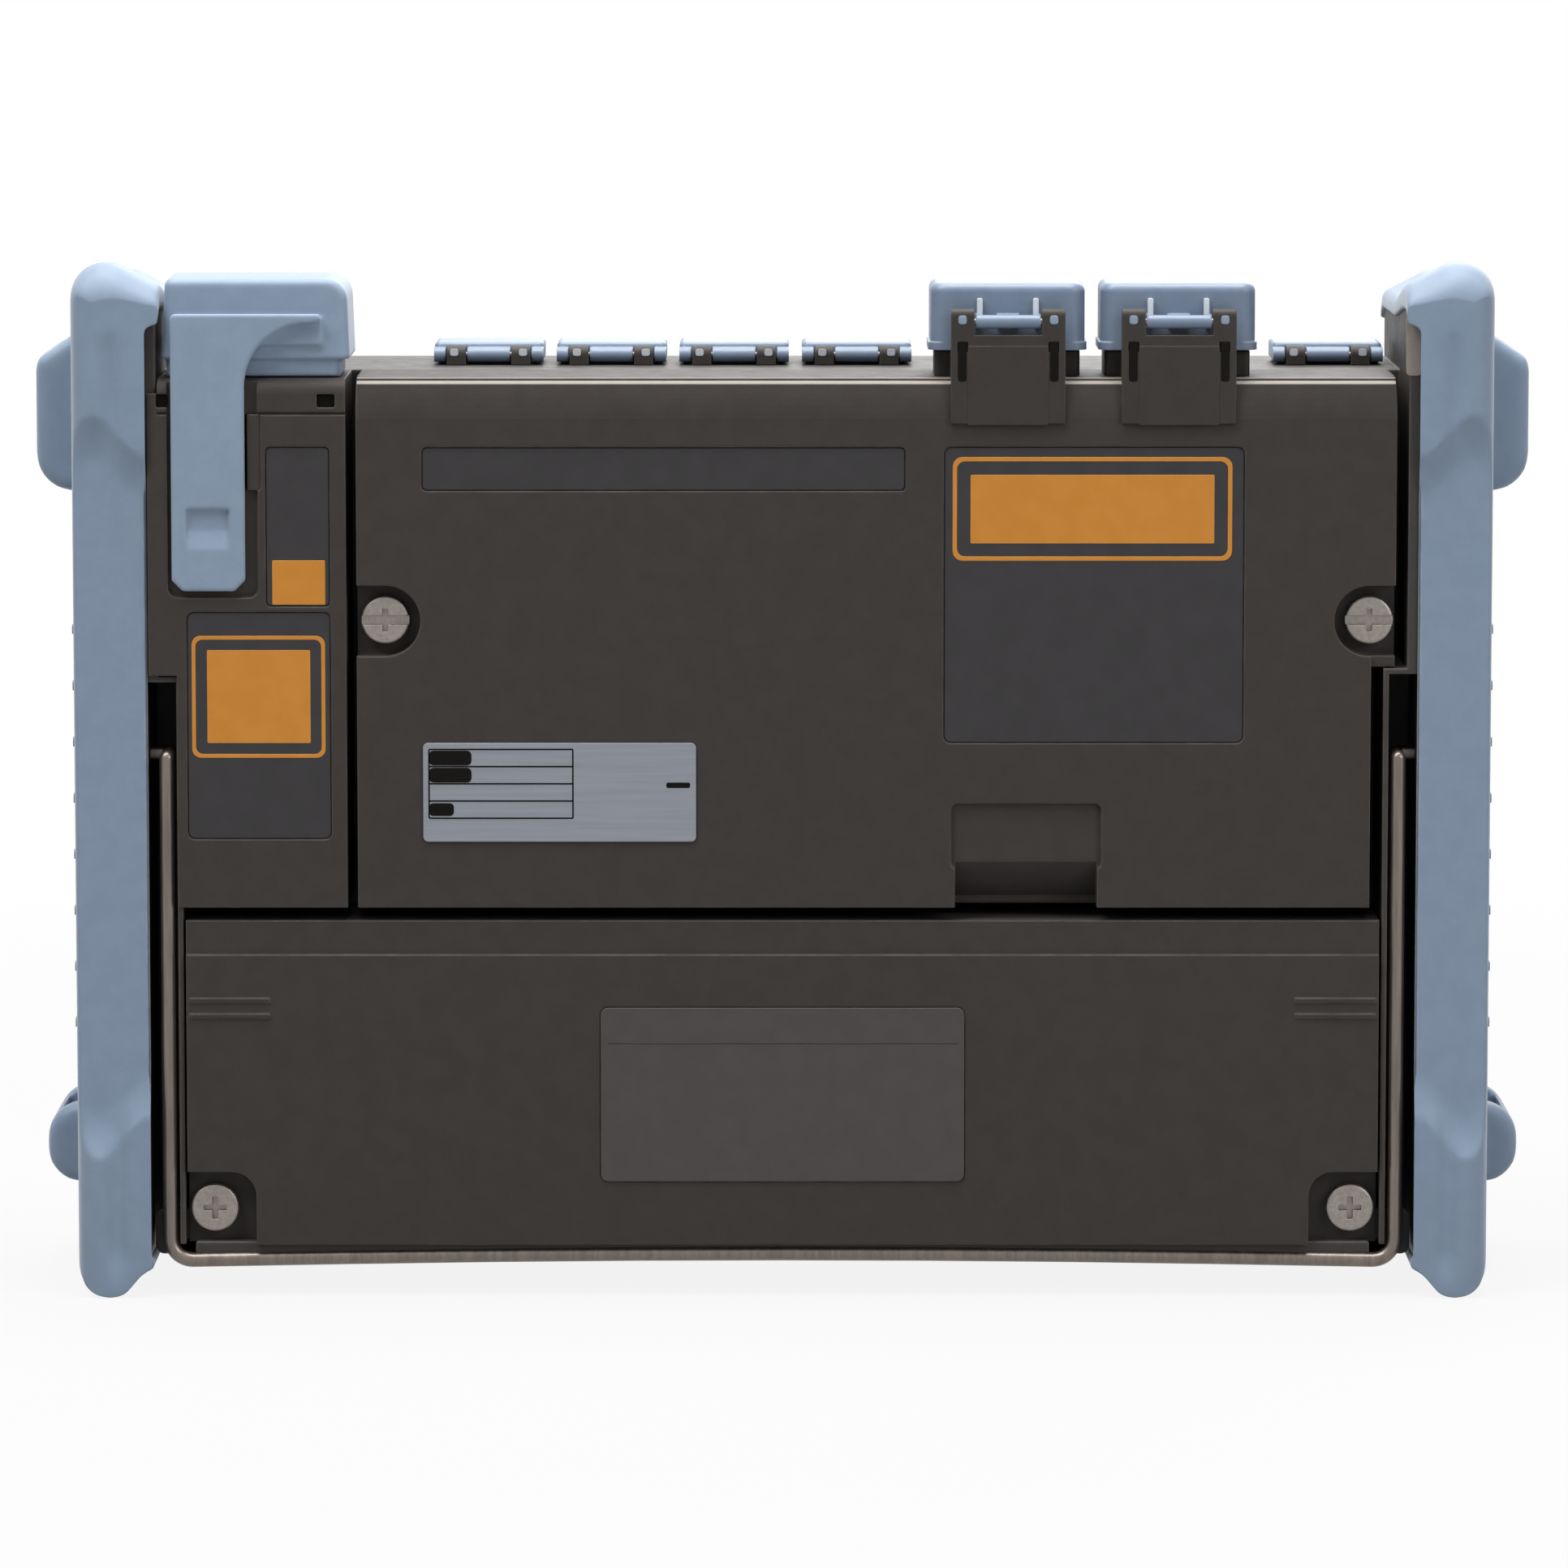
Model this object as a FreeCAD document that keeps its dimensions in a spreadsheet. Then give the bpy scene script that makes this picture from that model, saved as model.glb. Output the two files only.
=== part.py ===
"""Optical time domain reflectometer: a hand-held fibre tester with a touch screen in front,
a plug-in test unit, a plug-in power-meter module and a battery bay behind, two rubber bumpers
and a wire stand. Millimetres. X runs across the case, +Y towards the screen, +Z up.
The origin is under the middle of the case, on the surface that the bumper feet stand on."""

import FreeCAD, Part
import math
import os

import Sketcher

# ---------------------------------------------------------------- driving dimensions

SIZES = {
    # overall
    "body_width": 287.0,  # across both bumpers
    "overall_height": 210.0,
    "overall_depth": 80.0,
    # bumpers
    "bumper_face": 15.2,  # width of the lips seen from the rear and the front
    "bumper_side": 3.9,
    "bumper_lip": 3.5,  # lip thickness at the corners
    "bumper_top": 9.8,
    "bumper_round": 5.5,
    "bumper_crest_set": 5.2,  # outer face to the most prominent line of the lips
    "bumper_fall": 1.4,  # how far the lips fall away towards the case
    "bumper_end_round": 6.5,
    "bumper_cap_width": 17.9,  # outer face to the inner end of the cap over the tower
    "bumper_slope": 4.8,
    "foot_height": 8.0,
    "foot_flat": 4.5,
    "foot_set": 4.8,  # outer face to the flat of the foot
    "waist_cut": 2.2,  # how far the lips step back between the corners
    "waist_low": 37.0,  # the step at the lips' inner edge
    "waist_low_tip": 28.5,
    "waist_high_drop": 38.0,  # top of the bumper down to the step
    "waist_high_tip_drop": 30.5,
    "waist_tip_set": 4.5,  # outer face to the tips of the step
    "lug_reach": 9.5,
    "lug_high_drop": 13.0,  # top of the bumper down to the upper lug
    "lug_high_length": 33.0,
    "lug_low_bottom": 23.0,
    "lug_low_length": 16.5,
    "lug_low_set": 1.0,  # how much less the lower lug stands out
    "lug_front": 25.0,
    "lug_rear": -8.0,
    "lug_wall": 2.4,  # outside the belt slot
    "belt_slot_thick": 4.6,
    "belt_slot_wide": 20.0,
    # mainframe case
    "wall": 2.2,
    "front_wall": 4.0,
    "case_round": 5.0,
    "mainframe_depth": 45.5,  # front face to the rear of the bulkhead
    "front_case_depth": 11.5,
    "deck_drop": 23.0,  # top of the bumpers down to the deck
    "rail_width": 13.3,
    "joint_gap": 0.3,  # running gap between neighbouring pieces
    "seam": 0.1,  # gap left between faces that are pressed together
    "boss_radius": 4.2,
    "boss_length": 8.0,
    # stand
    "wire_radius": 1.5,
    "pin_clearance": 0.05,
    "stand_channel": 6.0,
    "channel_wall": 1.1,
    "channel_bite": 2.3,  # how far the channel cuts into the rail
    "stand_pivot_height": 110.0,
    "stand_crank": 9.8,
    "stand_set": 1.2,  # case rear to the wire's centre
    "stand_corner": 4.5,
    "stand_bar_height": 7.0,
    "stand_bow": 2.2,  # rise of the bar's middle before its long rounding
    "stand_bow_round": 5000.0,
    "stand_leg_set": 2.1,  # channel wall to the wire's centre
    "stand_pin_length": 6.0,
    # battery cover
    "cover_gap": 0.5,
    "cover_bottom": 10.5,
    "cover_top": 77.0,
    "cover_ledge_drop": 7.0,
    "cover_ledge_step": 0.5,
    "cover_screw_in": 5.4,
    "cover_screw_rise": 7.3,
    "cover_screw_well": 4.5,
    "cover_well_width": 14.0,
    "cover_well_height": 15.0,
    "cover_well_round": 5.0,
    "notice_half": 36.9,  # half width of the plate on the cover
    "notice_rise": 13.1,  # cover's lower edge to the plate
    "notice_height": 35.6,
    "notice_sink": 0.4,
    "notice_proud": 0.3,
    # plug-in units
    "unit_proud": 1.0,  # how far their rear faces stand behind the rails
    "unit_wall": 2.2,
    "unit_gap": 2.1,
    "unit_rail_gap": 2.5,
    "unit_channel_gap": 2.6,
    "unit_step": 131.1,
    "unit_lift": 2.7,  # battery cover to the units
    "unit_ledge_gap": 2.8,  # top of the stand's channel to the unit's step
    "unit_top_round": 8.0,
    "module_width": 37.9,
    "module_top_round": 3.0,
    "module_step": 126.9,
    "module_flange": 2.1,
    "module_flange_low": 1.2,
    "module_flange_thick": 0.9,
    "band_drop": 7.3,  # deck down to the groove across the module
    "module_panel_rise": 13.9,
    "panel_sink": 0.5,  # depth of the shallow panels for labels
    "scoop_left_set": 89.8,  # unit's right edge to the finger scoop
    "scoop_width": 30.6,
    "scoop_depth": 8.0,
    "scoop_height": 9.3,
    "scoop_panel": 13.5,
    "name_width": 97.6,
    "name_height": 8.9,
    "name_drop": 22.7,  # deck down to the name panel's lower edge
    "label_in": 30.6,
    "label_drop": 13.7,
    "label_width": 60.7,
    "label_height": 60.1,
    "plate_set": 13.3,  # unit's left edge to the rating plate
    "plate_rise": 13.5,
    "plate_width": 55.2,
    "plate_height": 20.1,
    "plate_proud": 0.4,
    # screws of the units and the cover
    "head_radius": 4.9,
    "head_height": 2.4,
    "shank_radius": 2.0,
    "head_slot_wide": 1.9,
    "head_slot_deep": 1.2,
    "cross_wide": 1.1,
    "cross_reach": 2.3,
    "screw_bite": 5.0,  # how far a screw goes into its boss
    "screw_recess": 7.2,
    "screw_well": 4.6,
    "screw_pillar": 9.4,
    "unit_screw_in_left": 5.7,
    "unit_screw_in_right": 5.2,
    "unit_screw_height": 138.0,
    # optical ports on the test unit
    "port_in": 78.4,  # unit's right edge to the first port
    "port_pitch": 34.4,
    "port_set": 2.3,  # middle of the unit's depth to the ports
    "lid_width": 32.0,
    "lid_depth": 21.0,
    "lid_drop": 5.9,  # hinge axis down to the lid's rim
    "lid_rise": 7.6,
    "lid_wall": 1.5,
    "lid_back": 3.4,
    "hinge_rise": 11.4,  # deck to the hinge axis
    "bracket_half": 11.5,
    "bracket_thick": 3.2,
    "bracket_proud": 0.8,
    "bracket_drop": 9.0,  # deck down to the foot of the bracket
    "horn_rise": 2.7,
    "notch_half": 6.8,
    "notch_drop": 2.6,
    "lid_pin_radius": 0.75,
    "knuckle_radius": 1.4,
    "arm_thick": 1.2,
    "base_half": 14.7,
    "base_front": 8.2,
    "adapter_width": 12.6,
    "adapter_depth": 9.4,
    "adapter_rise": 12.0,
    "adapter_length": 26.0,
    "adapter_mouth_wide": 9.0,
    "adapter_mouth_deep": 7.4,
    "ferrule_bore": 1.26,
    "sleeve_radius": 1.9,
    "sleeve_rise": 7.0,
    "sleeve_length": 9.0,
    "sleeve_hole": 12.0,
    # flaps over the sockets in the deck
    "flap_in": 25.4,  # unit's left edge to the first flap
    "flap_pitch": 25.3,
    "jack_flap_in": 13.8,  # rail to the last flap
    "flap_axis_set": 18.5,  # front case to the flaps' hinge axis
    "flap_width": 22.6,
    "flap_length": 17.2,
    "flap_thick": 3.4,
    "flap_pin_height": 2.1,
    "flap_pin_radius": 0.6,
    "flap_knuckle": 1.45,
    "flap_knuckle_half": 4.4,
    "post_inner": 4.7,
    "post_outer": 8.6,
    "post_round": 1.9,
    "seat_thick": 0.8,
    "seat_half": 10.6,
    "socket_hole_wide": 15.8,
    "socket_hole_deep": 8.6,
    "socket_width": 18.0,
    "socket_thick": 12.0,
    "socket_depth": 15.0,
    "socket_reach": 9.0,  # hinge axis to the middle of the socket hole
    "socket_mouth_wide": 13.2,
    "socket_mouth_thick": 6.4,
    "socket_mouth_deep": 11.0,
    # power-meter module's connector and rubber cap
    "meter_in": 19.0,  # module's left edge to the connector
    "meter_back": 11.5,  # cap's rear face to the connector
    "meter_radius": 5.0,
    "meter_flange": 6.8,
    "meter_rise": 9.5,
    "meter_bore": 3.6,
    "cap_over": 0.9,  # how far the cap passes the module's right edge
    "cap_rise": 20.0,
    "cap_rear_set": 2.0,  # module's rear face to the cap's rear face
    "cap_depth": 25.0,
    "cap_wall": 2.4,
    "cap_skirt": 3.8,
    "cap_skirt_set": 1.0,
    "strap_in": 2.8,
    "strap_width": 14.8,
    "strap_thick": 2.0,
    "strap_sink": 1.2,  # depth of the strap's bed in the module
    "strap_rise": 13.0,  # deck up to the top of the tab
    "strap_drop": 42.9,  # deck down to the strap's tail
    "strap_bend_drop": 4.0,
    "strap_gusset": 13.0,
    "tab_width": 30.2,
    "tab_drop": 6.3,
    "thumb_width": 8.6,
    "thumb_rise": 16.6,  # strap's tail to the top of the thumb recess
    "thumb_height": 8.4,
    "thumb_depth": 1.1,
    # front panel
    "glass_in_left": 17.6,  # case side to the glass, on the viewer's left
    "glass_in_right": 75.6,
    "glass_bottom": 24.0,
    "glass_top_drop": 17.0,  # deck down to the glass
    "glass_thick": 1.8,
    "glass_round": 3.0,
    "glass_set": 0.3,
    "glass_ledge": 4.5,
    "screen_depth": 10.0,
    "panel_in": 34.6,  # case side to the middle of the key field
    "key_proud": 1.2,
    "key_flange": 1.3,
    "key_flange_rim": 1.0,
    "key_travel": 1.2,
    "key_gap": 0.3,
    "key_column": 9.3,  # middle of the key field to a column of keys
    "key_round": 2.0,
    "key_edge": 0.5,
    "soft_key_in": 11.5,  # glass to the column of soft keys
    "soft_key_pitch": 24.0,
    "soft_key_lift": 5.0,
    "soft_key_wide": 12.0,
    "soft_key_high": 9.0,
    "menu_key_wide": 13.0,
    "menu_key_high": 8.0,
    "power_key_wide": 11.0,
    "power_key_round": 3.5,
    "arrow_key_long": 11.0,
    "arrow_key_short": 8.0,
    "arrow_key_round": 2.5,
    "arrow_rise": 12.5,
    "arrow_side": 13.0,
    "enter_key_size": 10.0,
    "enter_key_round": 4.0,
    "start_key_wide": 15.0,
    "start_key_high": 10.0,
    "power_row": 15.0,  # each row is a drop from the deck
    "menu_row": 34.0,
    "knob_row": 59.0,
    "arrow_row": 95.0,
    "setup_row": 123.0,
    "start_row": 141.0,
    "knob_radius": 13.0,
    "knob_height": 3.0,
    "knob_dish": 1.5,
    "knob_dish_radius": 3.6,
    "knob_dish_set": 7.0,
    "knob_shaft": 3.0,
    "key_board_out": 25.0,
    "key_post_in": 4.0,
    "key_post_radius": 2.5,
    "encoder_half": 6.5,
    "encoder_depth": 7.0,
    # boards and other inner pieces
    "board_thick": 1.6,
    "plate_thick": 1.2,
    "board_space": 9.5,  # chassis plate to the main board
    "board_margin": 8.0,
    "board_in": 11.6,  # case side to the main board
    "chassis_in": 7.6,
    "chassis_half_window": 35.0,
    "standoff_in": 21.6,
    "standoff_low": 30.0,
    "unit_board_set": 6.0,  # bulkhead to the rear face of a unit's board
    "module_board_set": 4.0,
    "reel_radius": 24.0,
    "reel_core": 17.0,
    "reel_height": 11.0,
    "reel_cheek": 1.4,
}


class Size:
    """A length together with the sheet expression that gives it."""

    def __init__(self, value, text):
        self.value, self.text = float(value), text

    def __add__(self, other):
        return join(self, "+", other, lambda a, b: a + b)

    def __radd__(self, other):
        return join(other, "+", self, lambda a, b: a + b)

    def __sub__(self, other):
        return join(self, "-", other, lambda a, b: a - b)

    def __rsub__(self, other):
        return join(other, "-", self, lambda a, b: a - b)

    def __mul__(self, other):
        return join(self, "*", other, lambda a, b: a * b)

    def __truediv__(self, other):
        return join(self, "/", other, lambda a, b: a / b)

    def __neg__(self):
        return join(0.0, "-", self, lambda a, b: a - b)


def size(value):
    return value if isinstance(value, Size) else Size(value, f"({float(value)!r})")


def join(left, sign, right, work):
    left, right = size(left), size(right)
    return Size(work(left.value, right.value), f"({left.text} {sign} {right.text})")


doc = FreeCAD.newDocument("reflectometer")
sheet = doc.addObject("Spreadsheet::Sheet", "Sizes")
for row, (alias, number) in enumerate(SIZES.items(), 1):
    sheet.set(f"A{row}", alias)
    sheet.set(f"B{row}", str(number))
    sheet.setAlias(f"B{row}", alias)
doc.recompute()


class Sheet:
    """Reads a driving dimension by its alias, as sheet.alias."""

    def __getattr__(self, alias):
        return Size(getattr(sheet, alias), f"Sizes.{alias}")


s = Sheet()

# ---------------------------------------------------------------- sketch and feature helpers

# Plane name: (sketch normal along the level axis). A sketch on XZ faces -Y.
FACING = {"XY": 1, "XZ": -1, "YZ": 1}


def poly(*corners):
    """A closed outline of (x, y) or (x, y, radius) corners."""
    return ("poly", corners)


def box(x_low, x_high, y_low, y_high, radius=None):
    corners = [(x_low, y_low), (x_high, y_low), (x_high, y_high), (x_low, y_high)]
    return poly(*[(x, y, radius) if radius is not None else (x, y) for x, y in corners])


def disc(x, y, radius):
    return ("disc", (x, y, radius))


class Draft:
    """Collects the lines, arcs and dimensions of a sketch, so that they are solved in one go."""

    def __init__(self):
        self.shapes, self.helpers, self.rules, self.texts = [], [], [], {}

    def line(self, shape, helper=False):
        self.shapes.append(shape)
        if helper:
            self.helpers.append(len(self.shapes) - 1)
        return len(self.shapes) - 1

    def tie(self, kind, *where):
        self.rules.append(Sketcher.Constraint(kind, *where))

    def hold(self, kind, value, *where):
        """Adds a dimension that the sheet drives."""
        value = size(value)
        self.texts[len(self.rules)] = value.text
        self.rules.append(Sketcher.Constraint(kind, *where, value.value))

    def hold_point(self, geometry, point, x, y):
        self.hold("DistanceX", x, -1, 1, geometry, point)
        self.hold("DistanceY", y, -1, 1, geometry, point)

    def write(self, sketch):
        sketch.addGeometry(self.shapes)
        for number in self.helpers:
            sketch.toggleConstruction(number)
        sketch.addConstraint(self.rules)
        for number, text in self.texts.items():
            sketch.setExpression(f"Constraints[{number}]", text)


def draw_disc(draft, x, y, radius):
    x, y, radius = size(x), size(y), size(radius)
    centre = FreeCAD.Vector(x.value, y.value, 0)
    circle = draft.line(Part.Circle(centre, FreeCAD.Vector(0, 0, 1), radius.value))
    draft.hold_point(circle, 3, x, y)
    draft.hold("Radius", radius, circle)


def draw_poly(draft, corners, closed=True):
    """Straight sides between held corner points; a corner with a radius gets a tangent arc."""
    points = [FreeCAD.Vector(size(c[0]).value, size(c[1]).value, 0) for c in corners]
    radii = [size(c[2]) if len(c) > 2 else None for c in corners]
    count = len(points)
    starts, ends = list(points), list(points)
    for i, here in enumerate(points):
        if radii[i] is not None:
            back = (points[i - 1] - here).normalize()
            ahead = (points[(i + 1) % count] - here).normalize()
            reach = radii[i].value / math.tan(back.getAngle(ahead) / 2)
            ends[i] = here + back * reach
            starts[i] = here + ahead * reach
    last = count if closed else count - 1
    sides = [
        draft.line(Part.LineSegment(starts[i], ends[(i + 1) % count])) for i in range(last)
    ]
    for i, corner in enumerate(corners):
        if not closed and i in (0, count - 1):
            side, point = (sides[0], 1) if i == 0 else (sides[-1], 2)
            draft.hold_point(side, point, corner[0], corner[1])
            continue
        before, after = sides[i - 1], sides[i]
        if radii[i] is None:
            draft.tie("Coincident", before, 2, after, 1)
            draft.hold_point(after, 1, corner[0], corner[1])
            continue
        round_corner(draft, points[i], ends[i], starts[i], radii[i], before, after)
        mark = draft.line(Part.Point(points[i]), True)
        for side in (before, after):
            draft.tie("PointOnObject", mark, 1, side)
        draft.hold_point(mark, 1, corner[0], corner[1])


def round_corner(draft, corner, start, end, radius, before, after):
    """A tangent arc between two sides."""
    towards = ((start - corner).normalize() + (end - corner).normalize()).normalize()
    half = (start - corner).getAngle(end - corner) / 2
    centre = corner + towards * (radius.value / math.sin(half))
    middle = centre - towards * radius.value
    arc = draft.line(Part.Arc(start, middle, end))
    turns_left = (start - corner).cross(end - corner).z < 0
    first, last = (1, 2) if turns_left else (2, 1)
    draft.tie("Tangent", before, 2, arc, first)
    draft.tie("Tangent", arc, last, after, 1)
    draft.hold("Radius", radius, arc)


def solid(label):
    body = doc.addObject("PartDesign::Body", label)
    body.Label = label
    body.AllowCompound = True
    return body


def draw(body, plane, level, outlines):
    """A sketch of the outlines on one of the body's own origin planes, moved to the level."""
    support = next(o for o in body.Origin.OriginFeatures if o.Role == f"{plane}_Plane")
    sketch = body.newObject("Sketcher::SketchObject", f"{body.Name}_sketch")
    sketch.AttachmentSupport = [(support, "")]
    sketch.MapMode = "FlatFace"
    offset = size(level) if FACING[plane] > 0 else -size(level)
    sketch.setExpression("AttachmentOffset.Base.z", offset.text)
    draft = Draft()
    for kind, data in outlines:
        if kind == "disc":
            draw_disc(draft, *data)
        else:
            draw_poly(draft, data, closed=kind == "poly")
    draft.write(sketch)
    return sketch


def add(body, plane, low, high, *outlines):
    """Pads the outlines from low to high along the axis square to the plane."""
    start = low if FACING[plane] > 0 else high
    pad = body.newObject("PartDesign::Pad", f"{body.Name}_pad")
    pad.Profile = draw(body, plane, start, outlines)
    pad.setExpression("Length", (size(high) - size(low)).text)
    body.Tip = pad
    return pad


def cut(body, plane, low, high, *outlines):
    """Pockets the outlines from low to high along the axis square to the plane."""
    start = high if FACING[plane] > 0 else low
    pocket = body.newObject("PartDesign::Pocket", f"{body.Name}_pocket")
    pocket.Profile = draw(body, plane, start, outlines)
    pocket.setExpression("Length", (size(high) - size(low)).text)
    body.Tip = pocket
    return pocket


def mirrored_front(body, feature):
    """Repeats a feature of the rear face on the front face."""
    mirror = body.newObject("PartDesign::Mirrored", f"{body.Name}_mirror")
    mirror.Originals = [feature]
    mirror.MirrorPlane = (next(o for o in body.Origin.OriginFeatures if o.Role == "XZ_Plane"), [""])
    body.Tip = mirror


def edges(shape, wanted):
    """Names of the edges that the test picks."""
    return [f"Edge{n}" for n, edge in enumerate(shape.Edges, 1) if wanted(edge)]


def runs_along(edge, axis):
    """True for a straight edge along one axis, given as 0, 1 or 2."""
    if edge.Curve.TypeId != "Part::GeomLine":
        return False
    direction = edge.tangentAt(edge.FirstParameter)
    return abs(abs(direction[axis]) - 1) < 1e-6


def soften(body, radius, wanted, kind="PartDesign::Fillet"):
    """Fillets (or chamfers) the picked edges of the body as it stands."""
    doc.recompute()
    base = body.Tip
    names = edges(base.Shape, wanted)
    if not names:
        raise ValueError(f"no edge of {body.Label} to soften")
    feature = body.newObject(kind, f"{body.Name}_soft")
    feature.Base = (base, names)
    feature.setExpression("Radius" if kind.endswith("Fillet") else "Size", size(radius).text)
    body.Tip = feature
    doc.recompute()
    return feature


def place(piece, x=0.0, y=0.0, z=0.0):
    for axis, value in zip("xyz", (x, y, z)):
        piece.setExpression(f"Placement.Base.{axis}", size(value).text)


def block(label, x_low, x_high, y_low, y_high, z_low, z_high):
    """A plain rectangular piece."""
    piece = doc.addObject("Part::Box", label)
    piece.Label = label
    for prop, low, high in (("Length", x_low, x_high), ("Width", y_low, y_high), ("Height", z_low, z_high)):
        piece.setExpression(prop, (size(high) - size(low)).text)
    place(piece, x_low, y_low, z_low)
    return piece


def mirrored(label, source):
    """The piece's mirror image across the middle of the case."""
    copy = doc.addObject("Part::Mirroring", label)
    copy.Label = label
    copy.Source = source
    copy.Normal = (1, 0, 0)
    return copy


parts = []


def keep(piece):
    """Marks a piece as a sub-part that is written out."""
    parts.append(piece)
    return piece


# ---------------------------------------------------------------- lines that several pieces share

zero = size(0.0)
half_width = s.body_width / 2
top = s.overall_height
rear = -s.overall_depth / 2
front = s.overall_depth / 2
case_rear = rear + s.bumper_lip
case_front = front - s.bumper_lip
case_side = half_width - s.bumper_side
case_bottom = s.foot_height
case_top = top - s.bumper_top
split = case_front - s.front_case_depth
bulkhead_rear = case_front - s.mainframe_depth
bulkhead_front = bulkhead_rear + s.wall
deck = top - s.deck_drop
rail_inner = case_side - s.rail_width
channel_outer = rail_inner + s.channel_bite
channel_inner = channel_outer - s.stand_channel
channel_edge = channel_inner - s.channel_wall
stand_leg = channel_inner + s.stand_leg_set
bumper_inner = half_width - s.bumper_face
bumper_crest = half_width - s.bumper_crest_set
bumper_cap_inner = half_width - s.bumper_cap_width
unit_rear = case_rear - s.unit_proud
unit_front = bulkhead_rear - s.seam
unit_bottom = s.cover_top + s.unit_lift
module_left = -(rail_inner - s.joint_gap)
module_low_left = -(channel_edge - s.joint_gap)
module_right = module_left + s.module_width
unit_left = module_right + s.unit_gap
unit_right = rail_inner - s.unit_rail_gap
unit_low_right = channel_edge - s.unit_channel_gap
cover_side = channel_edge - s.cover_gap
wall_back = case_front - s.front_wall
boss_front = bulkhead_front + s.boss_length

SIDES = (-1, 1)
CHANNEL_TOPS = {-1: s.module_step - s.joint_gap, 1: s.unit_step - s.unit_ledge_gap}
UNIT_SCREWS = (
    (unit_left + s.unit_screw_in_left, s.unit_screw_height),
    (unit_right - s.unit_screw_in_right, s.unit_screw_height),
)
cover_screw_side = cover_side - s.cover_screw_in
cover_screw_height = s.cover_bottom + s.cover_screw_rise
COVER_SCREWS = tuple((cover_screw_side * side, cover_screw_height) for side in SIDES)
port_one = unit_right - s.port_in
PORTS = (port_one, port_one + s.port_pitch)
FLAPS = tuple(unit_left + s.flap_in + s.flap_pitch * n for n in range(4)) + (rail_inner - s.jack_flap_in,)


def ordered(one, two):
    """Two sizes, the smaller one first."""
    return sorted((size(one), size(two)), key=lambda v: v.value)


def span(x_one, x_two, z_low, z_high, radius=None):
    """A rectangle whose two X values may come in either order."""
    return box(*ordered(x_one, x_two), z_low, z_high, radius)


# ---------------------------------------------------------------- mainframe case

def tower_outline(inset):
    """The case seen from behind: a flat deck between two towers."""
    side, foot, top = case_side - inset, case_bottom + inset, case_top - inset
    inner, level = rail_inner + inset, deck - inset
    corner = s.case_round - inset
    return poly(
        (-side, foot, corner), (side, foot, corner), (side, top, corner), (inner, top),
        (inner, level), (-inner, level), (-inner, top), (-side, top, corner),
    )


rear_case = keep(solid("rear_case"))
add(rear_case, "XZ", case_rear, split, tower_outline(zero))
cut(
    rear_case, "XZ", case_rear, bulkhead_rear,
    poly(
        (-channel_outer, zero), (channel_outer, zero), (channel_outer, CHANNEL_TOPS[1]),
        (rail_inner, CHANNEL_TOPS[1]), (rail_inner, top), (-rail_inner, top),
        (-rail_inner, CHANNEL_TOPS[-1]), (-channel_outer, CHANNEL_TOPS[-1]),
    ),
)
cut(rear_case, "XZ", bulkhead_front, split, tower_outline(s.wall))
for side, channel_top in CHANNEL_TOPS.items():
    cut(
        rear_case, "XZ", case_rear + s.wall, bulkhead_front,
        span((channel_outer + s.wall) * side, (case_side - s.wall) * side, case_bottom + s.wall,
             case_top - s.wall,
             s.case_round - s.wall),
    )
    add(
        rear_case, "XZ", case_rear, bulkhead_rear,
        poly(
            (channel_edge * side, s.cover_bottom), (channel_inner * side, s.cover_bottom),
            (channel_inner * side, channel_top - s.channel_wall),
            (channel_outer * side, channel_top - s.channel_wall),
            (channel_outer * side, channel_top), (channel_edge * side, channel_top),
        ),
    )
stand_y = case_rear + s.stand_set
pivot_y = stand_y + s.stand_crank
pin_end = channel_outer + s.stand_pin_length
boss_end = pin_end + s.wall / 2
for side in SIDES:
    add(rear_case, "YZ", *ordered(channel_outer * side, boss_end * side),
        disc(pivot_y, s.stand_pivot_height, s.boss_radius))
    cut(
        rear_case, "YZ", *ordered(channel_outer * side, (pin_end + s.joint_gap) * side),
        disc(pivot_y, s.stand_pivot_height, s.wire_radius + s.pin_clearance),
    )
add(rear_case, "XZ", bulkhead_front, boss_front,
    *[disc(x, z, s.boss_radius) for x, z in UNIT_SCREWS + COVER_SCREWS])
cut(
    rear_case, "XZ", bulkhead_rear, boss_front - 1.5,
    *[disc(x, z, s.shank_radius + s.seam) for x, z in UNIT_SCREWS + COVER_SCREWS],
)
flap_axis = split - s.flap_axis_set
socket_y = flap_axis + s.socket_reach
cut(
    rear_case, "XY", deck - s.wall, deck,
    *[
        box(x - s.socket_hole_wide / 2, x + s.socket_hole_wide / 2,
            socket_y - s.socket_hole_deep / 2, socket_y + s.socket_hole_deep / 2)
        for x in FLAPS
    ],
)
lcd_front = wall_back - s.seam
lcd_back = lcd_front - s.screen_depth
chassis_front = lcd_back - s.seam
chassis_back = chassis_front - s.plate_thick
board_front = chassis_back - s.board_space
board_back = board_front - s.board_thick
board_low, board_top = s.standoff_low - s.board_margin, deck - s.socket_depth - 0.5
standoff_side = case_side - s.standoff_in
STANDOFFS = tuple((standoff_side * side, z) for side in SIDES for z in (s.standoff_low,
                                                                        board_top - s.board_margin))
add(rear_case, "XZ", bulkhead_front, board_back, *[disc(x, z, s.boss_radius) for x, z in STANDOFFS])

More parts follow.
